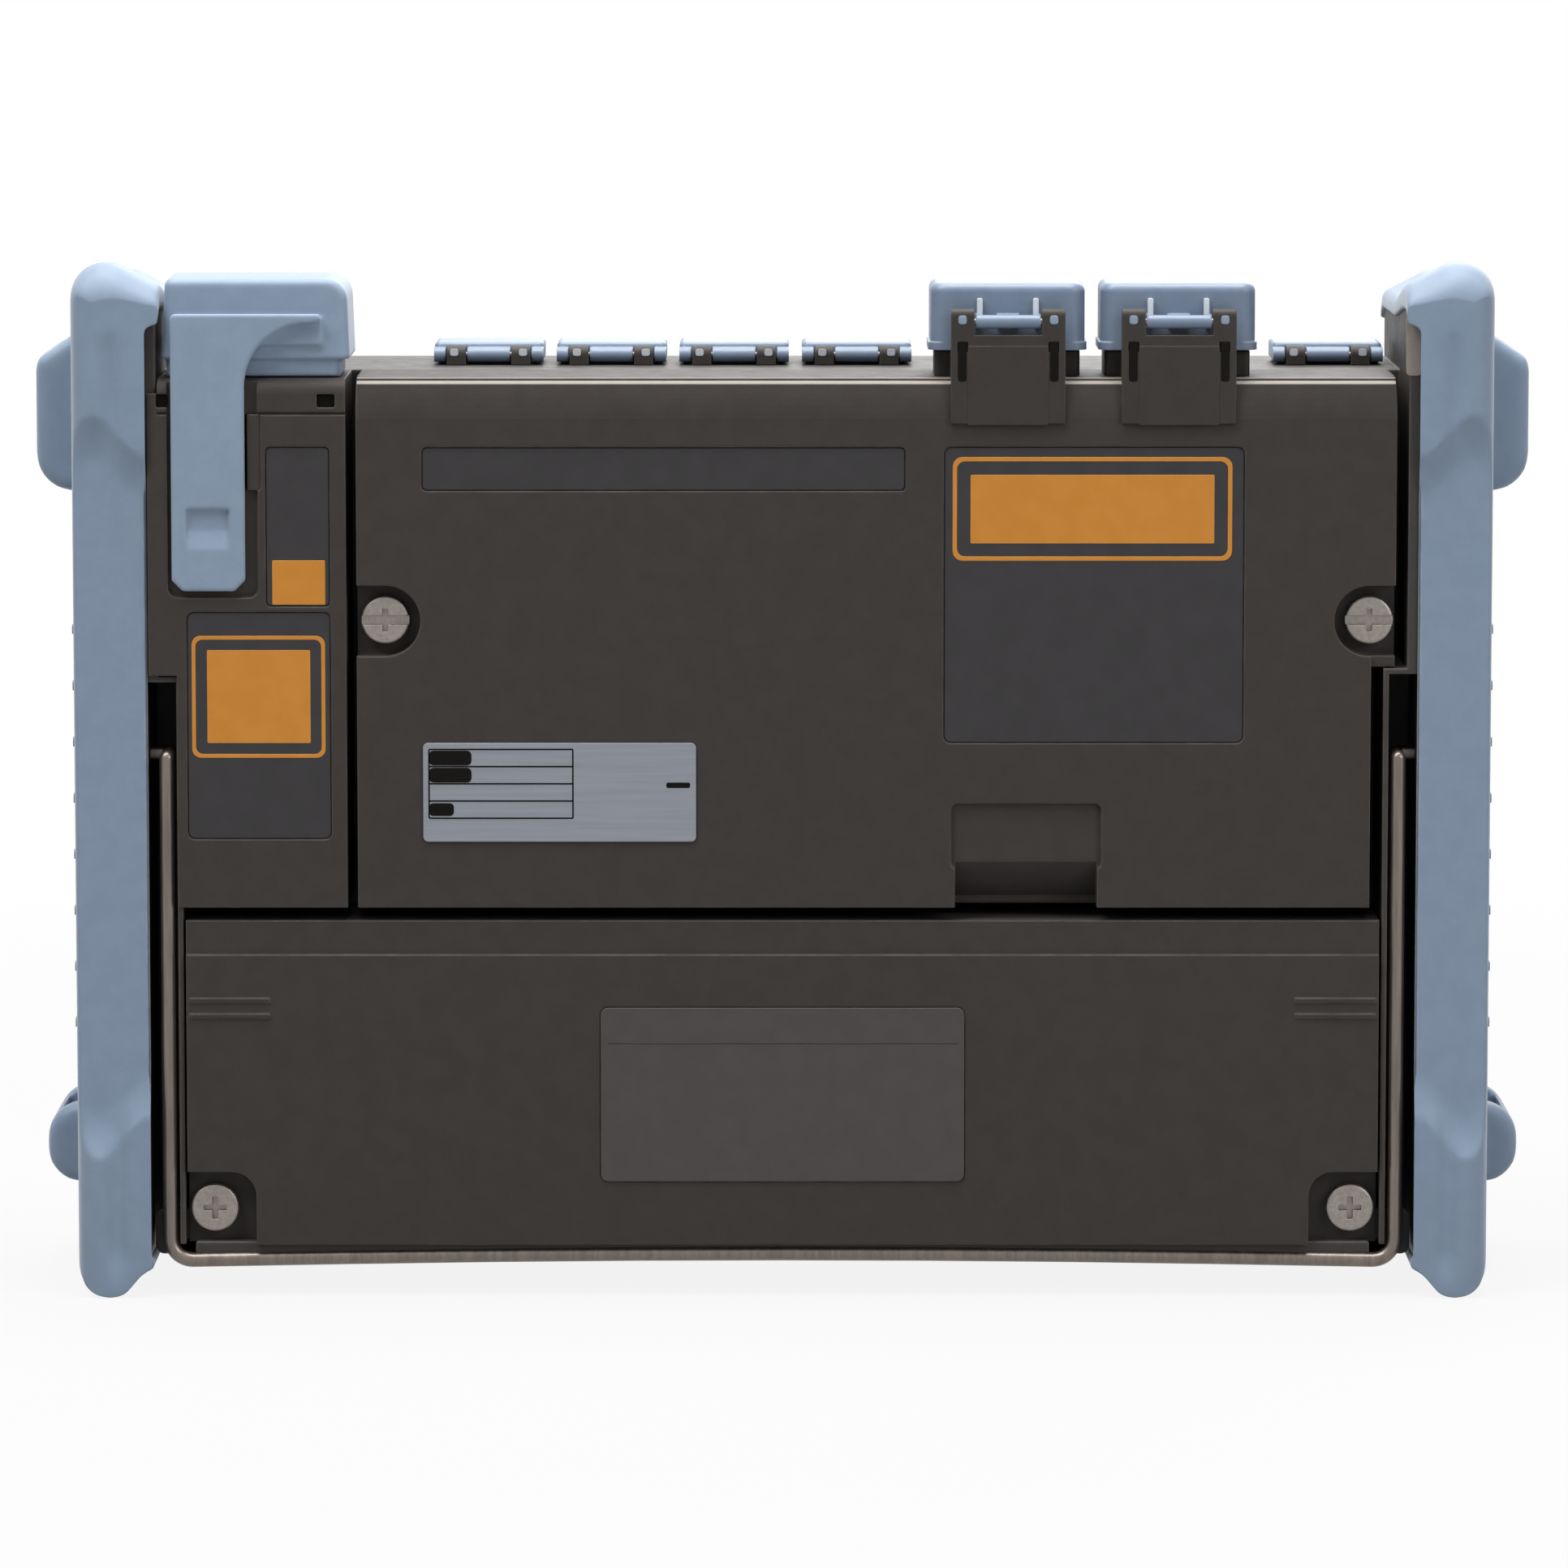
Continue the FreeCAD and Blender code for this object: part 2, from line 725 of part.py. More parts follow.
front_case = keep(solid("front_case"))
add(front_case, "XZ", split + s.seam, case_front, tower_outline(zero))
cut(front_case, "XZ", split, wall_back, tower_outline(s.wall))
glass_left = case_side - s.glass_in_left
glass_right = -(case_side - s.glass_in_right)
glass_top = deck - s.glass_top_drop
glass_front = case_front - s.glass_set
glass_back = glass_front - s.glass_thick
cut(
    front_case, "XZ", glass_back - s.seam, case_front,
    box(glass_right - s.joint_gap, glass_left + s.joint_gap, s.glass_bottom - s.joint_gap,
        glass_top + s.joint_gap, s.glass_round),
)
cut(
    front_case, "XZ", wall_back, case_front,
    box(glass_right + s.glass_ledge, glass_left - s.glass_ledge, s.glass_bottom + s.glass_ledge,
        glass_top - s.glass_ledge, s.glass_round / 2),
)

# ---------------------------------------------------------------- keys and knob

panel_middle = -(case_side - s.panel_in)
soft_column = glass_right - s.soft_key_in
soft_middle = (s.glass_bottom + glass_top) / 2 + s.soft_key_lift
column_one = panel_middle - s.key_column
column_two = panel_middle + s.key_column
arrow_z = deck - s.arrow_row
knob_z = deck - s.knob_row
SOFT_KEY = (s.soft_key_wide, s.soft_key_high, s.key_round)
MENU_KEY = (s.menu_key_wide, s.menu_key_high, s.key_round)
FLAT_ARROW = (s.arrow_key_long, s.arrow_key_short, s.arrow_key_round)
TALL_ARROW = (s.arrow_key_short, s.arrow_key_long, s.arrow_key_round)
START_KEY = (s.start_key_wide, s.start_key_high, s.key_round)
# name: middle X, middle Z, width, height, corner radius
KEYS = {
    f"key_soft_{number}": (soft_column, soft_middle + s.soft_key_pitch * (3 - number), *SOFT_KEY)
    for number in range(1, 6)
}
KEYS.update({
    "key_power": (column_one, deck - s.power_row, s.power_key_wide, s.menu_key_high, s.power_key_round),
    "key_menu": (column_one, deck - s.menu_row, *MENU_KEY),
    "key_escape": (column_two, deck - s.menu_row, *MENU_KEY),
    "key_up": (panel_middle, arrow_z + s.arrow_rise, *FLAT_ARROW),
    "key_down": (panel_middle, arrow_z - s.arrow_rise, *FLAT_ARROW),
    "key_left": (panel_middle + s.arrow_side, arrow_z, *TALL_ARROW),
    "key_right": (panel_middle - s.arrow_side, arrow_z, *TALL_ARROW),
    "key_enter": (panel_middle, arrow_z, s.enter_key_size, s.enter_key_size, s.enter_key_round),
    "key_setup": (column_one, deck - s.setup_row, *MENU_KEY),
    "key_file": (column_two, deck - s.setup_row, *MENU_KEY),
    "key_start": (column_one, deck - s.start_row, *START_KEY),
    "key_test": (column_two, deck - s.start_row, *START_KEY),
})


def key_outline(x, z, width, height, corner, grow):
    x, z, grow = size(x), size(z), size(grow)
    half_x, half_z = size(width) / 2 + grow, size(height) / 2 + grow
    return box(x - half_x, x + half_x, z - half_z, z + half_z, size(corner) + grow)


cut(front_case, "XZ", wall_back, case_front, disc(panel_middle, knob_z, s.knob_shaft + s.pin_clearance))
for data in KEYS.values():
    cut(front_case, "XZ", wall_back, case_front, key_outline(*data, s.key_gap))

flange_back = wall_back - s.seam - s.key_flange
for label, data in KEYS.items():
    key = keep(solid(label))
    add(key, "XZ", flange_back, flange_back + s.key_flange, key_outline(*data, s.key_flange_rim))
    add(key, "XZ", flange_back + s.key_flange, case_front + s.key_proud, key_outline(*data, 0.0))
    doc.recompute()
    proud = (case_front + s.key_proud).value
    soften(key, s.key_edge, lambda e: abs(e.BoundBox.YMin - proud) < 1e-4 and e.BoundBox.YLength < 1e-4)

knob = keep(solid("knob"))
knob_back = case_front + s.joint_gap
knob_front = knob_back + s.knob_height
encoder_back = wall_back - s.encoder_depth
add(knob, "XZ", encoder_back + 0.5, knob_back, disc(panel_middle, knob_z, s.knob_shaft))
add(knob, "XZ", knob_back, knob_front, disc(panel_middle, knob_z, s.knob_radius))
cut(knob, "XZ", knob_front - s.knob_dish, knob_front,
    disc(panel_middle + s.knob_dish_set, knob_z, s.knob_dish_radius))
soften(
    knob, s.knob_height / 4,
    lambda e: abs(e.BoundBox.YMin - knob_front.value) < 1e-4 and e.BoundBox.XLength > s.knob_radius.value,
)

encoder = keep(solid("encoder"))
add(
    encoder, "XZ", encoder_back, wall_back - s.seam,
    box(panel_middle - s.encoder_half, panel_middle + s.encoder_half, knob_z - s.encoder_half,
        knob_z + s.encoder_half, 1.0),
)
cut(encoder, "XZ", encoder_back, wall_back, disc(panel_middle, knob_z, s.knob_shaft + s.pin_clearance))

key_board = keep(solid("key_board"))
key_board_front = flange_back - s.key_travel - s.joint_gap
key_board_back = key_board_front - s.board_thick
board_left, board_right = panel_middle - s.key_board_out, glass_right - s.soft_key_in + s.soft_key_wide * 0.75
start_z = deck - s.start_row
add(key_board, "XZ", key_board_back, key_board_front,
    box(board_left, board_right, start_z - s.start_key_high, deck - 7.0))
board_hole = s.encoder_half + 1.0
cut(
    key_board, "XZ", key_board_back, key_board_front,
    box(panel_middle - board_hole, panel_middle + board_hole, knob_z - board_hole, knob_z + board_hole),
)
KEY_POSTS = tuple(
    (x, z)
    for x in (board_left + s.key_post_in, column_two + s.key_column)
    for z in (deck - s.power_row + 4.0, knob_z - 10.0, deck - s.setup_row - 9.0)
)
add(front_case, "XZ", key_board_front + s.seam, wall_back,
    *[disc(x, z, s.key_post_radius) for x, z in KEY_POSTS])

# ---------------------------------------------------------------- screen and inner boards

glass = keep(solid("touch_glass"))
add(
    glass, "XZ", glass_back, glass_front,
    box(glass_right, glass_left, s.glass_bottom, glass_top, s.glass_round - s.joint_gap),
)
keep(block(
    "lcd_module", glass_right + 1.0, glass_left - 1.0, lcd_back, lcd_front, s.glass_bottom + 2.0,
    glass_top - 2.0,
))
chassis_half = case_side - s.chassis_in
chassis = keep(solid("chassis_plate"))
add(chassis, "XZ", chassis_back, chassis_front, box(-chassis_half, chassis_half, board_low, board_top, 4.0))
window_low, window_top = board_low + s.chassis_half_window, board_top - s.chassis_half_window
cut(
    chassis, "XZ", chassis_back, chassis_front,
    box(panel_middle - 5.0, glass_right - 6.0, window_low, window_top, 4.0),
    box(-s.chassis_half_window, s.chassis_half_window * 2, window_low, window_top, 4.0),
)
board_half = case_side - s.board_in
main_board = keep(solid("main_board"))
add(main_board, "XZ", board_back + s.seam, board_front + s.seam,
    box(-board_half, board_half, board_low, board_top, 3.0))
spacers = keep(solid("board_spacers"))
add(spacers, "XZ", board_front + s.seam * 2, chassis_back - s.seam,
    *[disc(x, z, s.boss_radius * 0.7) for x, z in STANDOFFS])

# ---------------------------------------------------------------- bumpers

foot_outer = half_width - s.foot_set
foot_inner = foot_outer - s.foot_flat
lug_face = half_width + s.lug_reach
lug_low_face = lug_face - s.lug_low_set
lug_root = half_width - 1.5
lug_high_top = top - s.lug_high_drop
lug_high_bottom = lug_high_top - s.lug_high_length
lug_low_top = s.lug_low_bottom + s.lug_low_length
waist_tip = half_width - s.waist_tip_set
waist_high = top - s.waist_high_drop
bumper = keep(solid("bumper_right"))
add(
    bumper, "XZ", rear, front,
    poly((bumper_inner - 0.9, case_bottom - 2.0), (bumper_inner + 2.0, case_bottom - 3.4),
         (foot_inner, zero, 4.0),
         (half_width, zero, s.bumper_end_round), (half_width, top, s.bumper_end_round),
         (bumper_crest - 3.6, top, 6.0), (bumper_cap_inner, top - s.bumper_slope, 1.5),
         (bumper_cap_inner, case_top + s.seam), (bumper_inner, case_top + s.seam),
         (bumper_inner, case_bottom - 1.0)),
)
for face, away in ((rear, -1), (front, 1)):
    cut(
        bumper, "XY", -1.0, top + 1.0,
        poly((half_width + 1.0, face + size(away)), (half_width + 1.0, face - size(8.0) * away),
             (half_width, face - size(8.0) * away), (half_width, face - size(0.3) * away, s.bumper_round),
             (bumper_crest, face), (bumper_crest, face + size(away))),
        poly((bumper_crest, face + size(away)), (bumper_crest, face),
             (bumper_cap_inner - 1.0, face - s.bumper_fall * away),
             (bumper_cap_inner - 1.0, face + size(away))),
    )
step = cut(
    bumper, "XZ", rear, rear + s.waist_cut,
    poly((bumper_cap_inner - 1.0, s.waist_low), (bumper_inner, s.waist_low),
         (waist_tip, s.waist_low_tip, 5.0),
         (half_width + 1.0, s.waist_low - 1.0), (half_width + 1.0, waist_high + 1.0),
         (waist_tip, top - s.waist_high_tip_drop, 5.0), (bumper_inner, waist_high),
         (bumper_cap_inner - 1.0, waist_high)),
)
mirrored_front(bumper, step)
cut(
    bumper, "XZ", case_rear - s.seam, case_front + s.seam,
    poly((bumper_cap_inner - 1.0, case_bottom - s.seam),
         (case_side + s.seam, case_bottom - s.seam, s.case_round),
         (case_side + s.seam, case_top + s.seam, s.case_round), (bumper_cap_inner - 1.0, case_top + s.seam)),
)
add(
    bumper, "XZ", s.lug_rear, s.lug_front,
    poly((lug_root, lug_high_bottom), (lug_face, lug_high_bottom, 7.5), (lug_face, lug_high_top - 6.0, 3.0),
         (half_width, lug_high_top), (lug_root, lug_high_top)),
    poly((lug_root, s.lug_low_bottom), (lug_low_face, s.lug_low_bottom, 7.0),
         (lug_low_face, lug_low_top, 7.0),
         (lug_root, lug_low_top)),
)
soften(
    bumper, 2.0,
    lambda e: e.BoundBox.YLength < 1e-4 and e.BoundBox.XMin > half_width.value - 0.01
    and e.BoundBox.XMax > half_width.value + 0.01
    and min(abs(e.BoundBox.YMin - v.value) for v in (s.lug_rear, s.lug_front)) < 1e-4,
)
slot_middle = (s.lug_front + s.lug_rear) / 2
for low, high, outside in (
    (lug_high_bottom, lug_high_top, lug_face - s.lug_wall),
    (s.lug_low_bottom, lug_low_top, lug_low_face - s.lug_wall),
):
    cut(
        bumper, "XY", low - 1.0, high + 1.0,
        box(outside - s.belt_slot_thick, outside, slot_middle - s.belt_slot_wide / 2,
            slot_middle + s.belt_slot_wide / 2, 1.0),
    )
bumper_left = keep(mirrored("bumper_left", bumper))

# ---------------------------------------------------------------- wire stand

stand = keep(solid("stand"))
stand_top = s.stand_pivot_height
spine = draw(stand, "XZ", stand_y, [(
    "path",
    ((-stand_leg, stand_top), (-stand_leg, s.stand_bar_height, s.stand_corner),
     (zero, s.stand_bar_height + s.stand_bow, s.stand_bow_round),
     (stand_leg, s.stand_bar_height, s.stand_corner), (stand_leg, stand_top)),
)])
profile = draw(stand, "XY", stand_top, [disc(-stand_leg, stand_y, s.wire_radius)])
wire = stand.newObject("PartDesign::AdditivePipe", "stand_wire")
wire.Profile = profile
wire.Spine = spine
stand.Tip = wire
for side in SIDES:
    add(stand, "XZ", stand_y, pivot_y, disc(stand_leg * side, stand_top, s.wire_radius))
    add(stand, "YZ", *ordered(stand_leg * side, pin_end * side), disc(pivot_y, stand_top, s.wire_radius))
    for corner_y in (stand_y, pivot_y):
        ball = stand.newObject("PartDesign::AdditiveSphere", "stand_ball")
        ball.setExpression("Radius", s.wire_radius.text)
        ball.setExpression("Placement.Base.x", (stand_leg * side).text)
        ball.setExpression("Placement.Base.y", corner_y.text)
        ball.setExpression("Placement.Base.z", stand_top.text)
        stand.Tip = ball

# ---------------------------------------------------------------- plug-in units

unit_inside_rear = unit_rear + s.unit_wall
well_floor = unit_rear + s.screw_well


def shell(piece, low_sides, high_sides, step, top_round):
    """A unit's case: a lower and a wider upper block, hollow and open towards the bulkhead."""
    add(piece, "XZ", unit_rear, unit_front, span(*low_sides, unit_bottom, deck))
    add(piece, "XZ", unit_rear, unit_front, span(*high_sides, step, deck))
    soften(
        piece, top_round,
        lambda e: runs_along(e, 0) and abs(e.BoundBox.ZMin - deck.value) < 1e-4
        and abs(e.BoundBox.YMin - unit_rear.value) < 1e-4,
    )
    for (one, two), bottom in ((low_sides, unit_bottom), (high_sides, step)):
        cut(
            piece, "YZ", one + s.unit_wall, two - s.unit_wall,
            poly((unit_inside_rear, bottom + s.unit_wall), (unit_front + 1.0, bottom + s.unit_wall),
                 (unit_front + 1.0, deck - s.unit_wall),
                 (unit_inside_rear, deck - s.unit_wall, top_round - s.unit_wall)),
        )


def screw_column(piece, x, z, x_edge, reach):
    """The pillar that carries a fixing screw, with its well in the rear face, open to the unit's side."""
    pillar = span(x_edge, x + reach, z - s.screw_pillar, z + s.screw_pillar)
    add(piece, "XZ", well_floor, unit_front, pillar)
    add(piece, "XZ", unit_inside_rear - 0.5, well_floor, pillar)
    cut(piece, "XZ", unit_rear, well_floor, disc(x, z, s.screw_recess))
    cut(piece, "XZ", unit_rear, well_floor, span(x_edge, x, z - s.screw_recess, z + s.screw_recess))
    cut(piece, "XZ", well_floor, unit_front, disc(x, z, s.shank_radius + s.seam))


unit = keep(solid("otdr_unit_case"))
shell(unit, (unit_left, unit_low_right), (unit_left, unit_right), s.unit_step, s.unit_top_round)
(left_x, left_z), (right_x, right_z) = UNIT_SCREWS
screw_column(unit, left_x, left_z, unit_left, s.screw_pillar)
screw_column(unit, right_x, right_z, unit_right, -s.screw_pillar)
scoop_left = unit_right - s.scoop_left_set
scoop_right = scoop_left + s.scoop_width
scoop_top = unit_bottom + s.scoop_height
add(
    unit, "XZ", unit_inside_rear - 0.5, unit_rear + s.scoop_depth + s.unit_wall,
    box(scoop_left - s.unit_wall, scoop_right + s.unit_wall, unit_bottom, scoop_top + s.unit_wall),
)
name_left, name_low = unit_left + s.plate_set - 0.1, deck - s.name_drop
label_right, label_top = unit_right - s.label_in, deck - s.label_drop
PANELS = (
    (name_left, name_left + s.name_width, name_low, name_low + s.name_height, 1.0, s.panel_sink),
    (label_right - s.label_width, label_right, label_top - s.label_height, label_top, 1.5, s.panel_sink),
    (scoop_left, scoop_right, scoop_top - 1.5, scoop_top - 1.5 + s.scoop_panel, 1.5, s.panel_sink * 2),
)
for x_low, x_high, z_low, z_high, corner, deep in PANELS:
    cut(unit, "XZ", unit_rear, unit_rear + deep, box(x_low, x_high, z_low, z_high, corner))
cut(
    unit, "YZ", scoop_left + 0.9, scoop_right - 0.9,
    poly((unit_rear - 1.0, unit_bottom - 1.0), (unit_rear + s.scoop_depth, unit_bottom - 1.0),
         (unit_rear + s.scoop_depth, unit_bottom + 1.5), (unit_rear + 1.0, scoop_top),
         (unit_rear - 1.0, scoop_top)),
)
port_y = (unit_rear + unit_front) / 2 + s.port_set
port_hole = s.adapter_width / 2 + s.seam
cut(
    unit, "XY", deck - s.unit_wall, deck,
    *[box(x - port_hole, x + port_hole, port_y - s.adapter_depth / 2 - s.seam,
          port_y + s.adapter_depth / 2 + s.seam)
      for x in PORTS],
)

module = keep(solid("module_case"))
shell(module, (module_low_left, module_right), (module_left, module_right), s.module_step, s.module_top_round)
for edge, reach, z_low, z_high in (
    (module_left, s.module_flange, s.module_step, deck - s.module_top_round),
    (module_low_left, s.module_flange_low, unit_bottom, s.module_step),
):
    add(module, "XZ", unit_rear, unit_rear + s.module_flange_thick,
        box(edge - reach, edge + 0.5, z_low, z_high))
strap_left = module_left + s.strap_in
strap_right = strap_left + s.strap_width
strap_tail = deck - s.strap_drop
strap_bend = deck - s.strap_bend_drop
band_low = deck - s.band_drop
# left, right, low, top, corner radius and depth of the sunk panels
MODULE_PANELS = (
    (strap_right + 4.1, module_right - 3.2, strap_tail - 3.2, label_top, 1.0, s.panel_sink),
    (strap_left + 2.8, module_right - 3.1, unit_bottom + s.module_panel_rise, strap_tail - 4.2, 1.5,
     s.panel_sink),
    (module_left - 0.2, strap_left, band_low + 1.5, band_low + 4.2, 0.3, s.strap_sink),
    (module_right - 5.7, module_right - 2.1, band_low + 1.5, band_low + 4.2, 0.3, s.strap_sink),
    (module_left, module_right, band_low, band_low + 0.6, 0.2, s.panel_sink),
    (strap_left - 0.8, strap_right + 2.6, strap_tail - 1.4, deck + 1.0, 2.0, s.strap_sink),
    (strap_right, strap_right + 3.2, band_low - 15.1, band_low, 0.3, s.strap_sink * 2),
)
for x_low, x_high, z_low, z_high, corner, deep in MODULE_PANELS:
    cut(module, "XZ", unit_rear, unit_rear + deep, box(x_low, x_high, z_low, z_high, corner))
cap_rear = unit_rear + s.cap_rear_set
meter_x = module_left + s.meter_in
meter_y = cap_rear + s.meter_back
cut(module, "XY", deck - s.unit_wall, deck, disc(meter_x, meter_y, s.meter_radius + s.seam))

# ---------------------------------------------------------------- battery cover

cover = keep(solid("battery_cover"))
add(cover, "XZ", unit_rear, unit_front, box(-cover_side, cover_side, s.cover_bottom, s.cover_top))
cut(
    cover, "XZ", unit_rear, unit_rear + s.cover_ledge_step,
    box(-cover_side, cover_side, s.cover_top - s.cover_ledge_drop, s.cover_top),
)
cut(
    cover, "XZ", unit_inside_rear, unit_front,
    box(-cover_side + s.unit_wall, cover_side - s.unit_wall, s.cover_bottom + s.unit_wall,
        s.cover_top - s.unit_wall),
)
cover_well_floor = unit_rear + s.cover_screw_well
well_inner = cover_side - s.cover_well_width
well_top = s.cover_bottom + s.cover_well_height
for side in SIDES:
    add(
        cover, "XZ", unit_inside_rear, unit_front,
        span((well_inner - s.unit_wall) * side, cover_side * side, s.cover_bottom, well_top + s.unit_wall),
    )
    cut(
        cover, "XZ", unit_rear, cover_well_floor,
        poly(((cover_side + 1.0) * side, s.cover_bottom - 1.0), (well_inner * side, s.cover_bottom - 1.0),
             (well_inner * side, well_top, s.cover_well_round), ((cover_side + 1.0) * side, well_top)),
    )
    cut(
        cover, "XZ", cover_well_floor, unit_front,
        disc(cover_screw_side * side, cover_screw_height, s.shank_radius + s.seam),
    )
notice_low = s.cover_bottom + s.notice_rise


def notice(grow):
    """The plate on the cover and the recess that it lies in."""
    half, low = s.notice_half + grow, notice_low - grow
    return box(-half, half, low, notice_low + s.notice_height + grow, 1.5)


cut(cover, "XZ", unit_rear, unit_rear + s.notice_sink, notice(s.seam))
for side in SIDES:
    for rise in (46.6, 49.8):  # two raised ribs near each end
        add(
            cover, "XZ", unit_rear - s.notice_proud, unit_rear,
            span((cover_side - 17.0) * side, (cover_side - 0.6) * side, s.cover_bottom + rise,
                 s.cover_bottom + rise + 0.9),
        )
cover_plate = keep(solid("cover_plate"))
add(cover_plate, "XZ", unit_rear - s.notice_proud, unit_rear + s.notice_sink - s.seam / 2, notice(zero))
rating_plate = keep(solid("rating_plate"))
plate_left, plate_low = unit_left + s.plate_set, unit_bottom + s.plate_rise
add(
    rating_plate, "XZ", unit_rear - s.plate_proud, unit_rear - s.seam / 2,
    box(plate_left, plate_left + s.plate_width, plate_low, plate_low + s.plate_height, 1.0),
)

# ---------------------------------------------------------------- fixing screws


def screws(label, places, floor, length):
    """A group of slotted cross-head screws driven towards +Y."""
    piece = keep(solid(label))
    head_rear = floor - s.head_height
    add(piece, "XZ", floor, floor + length, *[disc(x, z, s.shank_radius) for x, z in places])
    add(piece, "XZ", head_rear, floor, *[disc(x, z, s.head_radius) for x, z in places])
    doc.recompute()
    soften(
        piece, 0.6,
        lambda e: abs(e.BoundBox.YMax - head_rear.value) < 1e-4 and e.BoundBox.XLength > 5,
    )
    bars = []
    for x, z in places:
        x, z = size(x), size(z)
        bars.append(box(x - s.cross_wide / 2, x + s.cross_wide / 2, z - s.cross_reach, z + s.cross_reach))
    cut(piece, "XZ", head_rear, head_rear + s.head_slot_deep, *bars)
    for x, z in places:
        x, z = size(x), size(z)
        reach = s.head_radius + 0.5 if label == "unit_screws" else s.cross_reach
        wide = s.head_slot_wide if label == "unit_screws" else s.cross_wide
        cut(piece, "XZ", head_rear, head_rear + s.head_slot_deep,
            box(x - reach, x + reach, z - wide / 2, z + wide / 2))
    return piece


screws("unit_screws", UNIT_SCREWS, well_floor - s.seam / 2, bulkhead_front + s.screw_bite - well_floor)
screws("cover_screws", COVER_SCREWS, cover_well_floor - s.seam / 2,
       bulkhead_front + s.screw_bite - cover_well_floor)

# ---------------------------------------------------------------- optical ports

mount_rear = unit_rear - s.bracket_proud
lid_axis_y = mount_rear + s.bracket_thick / 2
hinge_z = deck + s.hinge_rise
horn_top = hinge_z + s.horn_rise
bracket_low = deck - s.bracket_drop
base_top = hinge_z - s.lid_drop - 0.5
mount_front = port_y + s.base_front
gap = s.seam / 2
mounts = keep(solid("port_mounts"))
for x in PORTS:
    add(
        mounts, "YZ", x - s.bracket_half, x + s.bracket_half,
        poly((mount_rear, bracket_low), (mount_rear, horn_top, 1.5),
             (mount_rear + s.bracket_thick, horn_top, 1.5),
             (mount_rear + s.bracket_thick, base_top), (mount_front, base_top), (mount_front, deck + gap),
             (unit_rear - gap, deck + gap, s.unit_top_round + gap), (unit_rear - gap, bracket_low)),
    )
    add(
        mounts, "XY", deck + gap, base_top,
        box(x - s.base_half, x + s.base_half, unit_rear + s.unit_top_round + 0.3, mount_front, 1.0),
    )
    cut(
        mounts, "XY", deck, base_top,
        box(x - port_hole, x + port_hole, port_y - s.adapter_depth / 2 - s.seam,
            port_y + s.adapter_depth / 2 + s.seam),
    )
    cut(
        mounts, "XZ", mount_rear, mount_rear + s.bracket_thick,
        box(x - s.notch_half, x + s.notch_half, hinge_z - s.notch_drop, top),
    )
    for side in SIDES:
        groove = x + s.notch_half * 0.68 * side
        cut(
            mounts, "XZ", mount_rear, mount_rear + s.bracket_proud,
            box(groove - 0.9, groove + 0.9, bracket_low + 3.0, bracket_low + 11.5, 0.4),
        )
        window = x + (s.notch_half + s.bracket_half) / 2 * side
        cut(
            mounts, "XZ", mount_rear, mount_rear + s.bracket_proud,
            box(window - 1.1, window + 1.1, base_top + 0.3, base_top + 2.5, 0.3),
        )
        cut(
            mounts, "YZ", *ordered(x + s.notch_half * side, x + (s.bracket_half - 1.0) * side),
            disc(lid_axis_y, hinge_z, s.lid_pin_radius + 0.02),
        )

pins = keep(solid("port_lid_pins"))
for x in PORTS:
    reach = s.bracket_half - 1.0 - gap
    add(pins, "YZ", x - reach, x + reach, disc(lid_axis_y, hinge_z, s.lid_pin_radius))

adapters = keep(solid("port_adapters"))
adapter_top, sleeve_top = deck + s.adapter_rise, deck + s.sleeve_rise
for x in PORTS:
    add(
        adapters, "XY", adapter_top - s.adapter_length, adapter_top,
        box(x - s.adapter_width / 2, x + s.adapter_width / 2, port_y - s.adapter_depth / 2,
            port_y + s.adapter_depth / 2, 0.8),
    )
    cut(
        adapters, "XY", sleeve_top - s.sleeve_length, adapter_top,
        box(x - s.adapter_mouth_wide / 2, x + s.adapter_mouth_wide / 2, port_y - s.adapter_mouth_deep / 2,
            port_y + s.adapter_mouth_deep / 2, 0.6),
    )
    add(adapters, "XY", sleeve_top - s.sleeve_length, sleeve_top, disc(x, port_y, s.sleeve_radius))
    cut(adapters, "XY", sleeve_top - s.sleeve_hole, sleeve_top, disc(x, port_y, s.ferrule_bore))

lid_rear = lid_axis_y + s.lid_back
lid_front = lid_rear + s.lid_depth
lid_low = hinge_z - s.lid_drop
lid_top = hinge_z + s.lid_rise
for number, x in enumerate(PORTS, 1):
    lid = keep(solid(f"port_lid_{number}"))
    half = s.lid_width / 2
    add(lid, "XY", lid_low, lid_top, box(x - half + 0.4, x + half - 0.4, lid_rear, lid_front, 3.0))
    add(lid, "XY", lid_low, lid_low + 1.6, box(x - half, x + half, lid_rear, lid_front + 0.4, 3.0))
    soften(lid, 1.8, lambda e: abs(e.BoundBox.ZMin - lid_top.value) < 1e-4 and e.BoundBox.ZLength < 1e-4)
    cut(
        lid, "XY", lid_low, lid_top - s.lid_wall,
        box(x - half + s.lid_wall + 0.4, x + half - s.lid_wall - 0.4, lid_rear + s.lid_wall,
            lid_front - s.lid_wall, 1.5),
    )
    knuckle_half = s.notch_half - s.joint_gap
    add(lid, "YZ", x - knuckle_half, x + knuckle_half, disc(lid_axis_y, hinge_z, s.knuckle_radius))
    for side in SIDES:
        add(
            lid, "YZ", *ordered(x + knuckle_half * side, x + (knuckle_half - s.arm_thick) * side),
            box(lid_axis_y, lid_rear + 0.5, hinge_z - s.knuckle_radius, hinge_z + s.knuckle_radius),
        )
    add(
        lid, "YZ", x - 2.2, x + 2.2,
        box(lid_axis_y, lid_rear + 0.5, hinge_z - s.knuckle_radius, hinge_z + s.knuckle_radius),
    )
    cut(lid, "YZ", x - knuckle_half, x + knuckle_half,
        disc(lid_axis_y, hinge_z, s.lid_pin_radius + s.pin_clearance))

# ---------------------------------------------------------------- sockets in the deck and their flaps

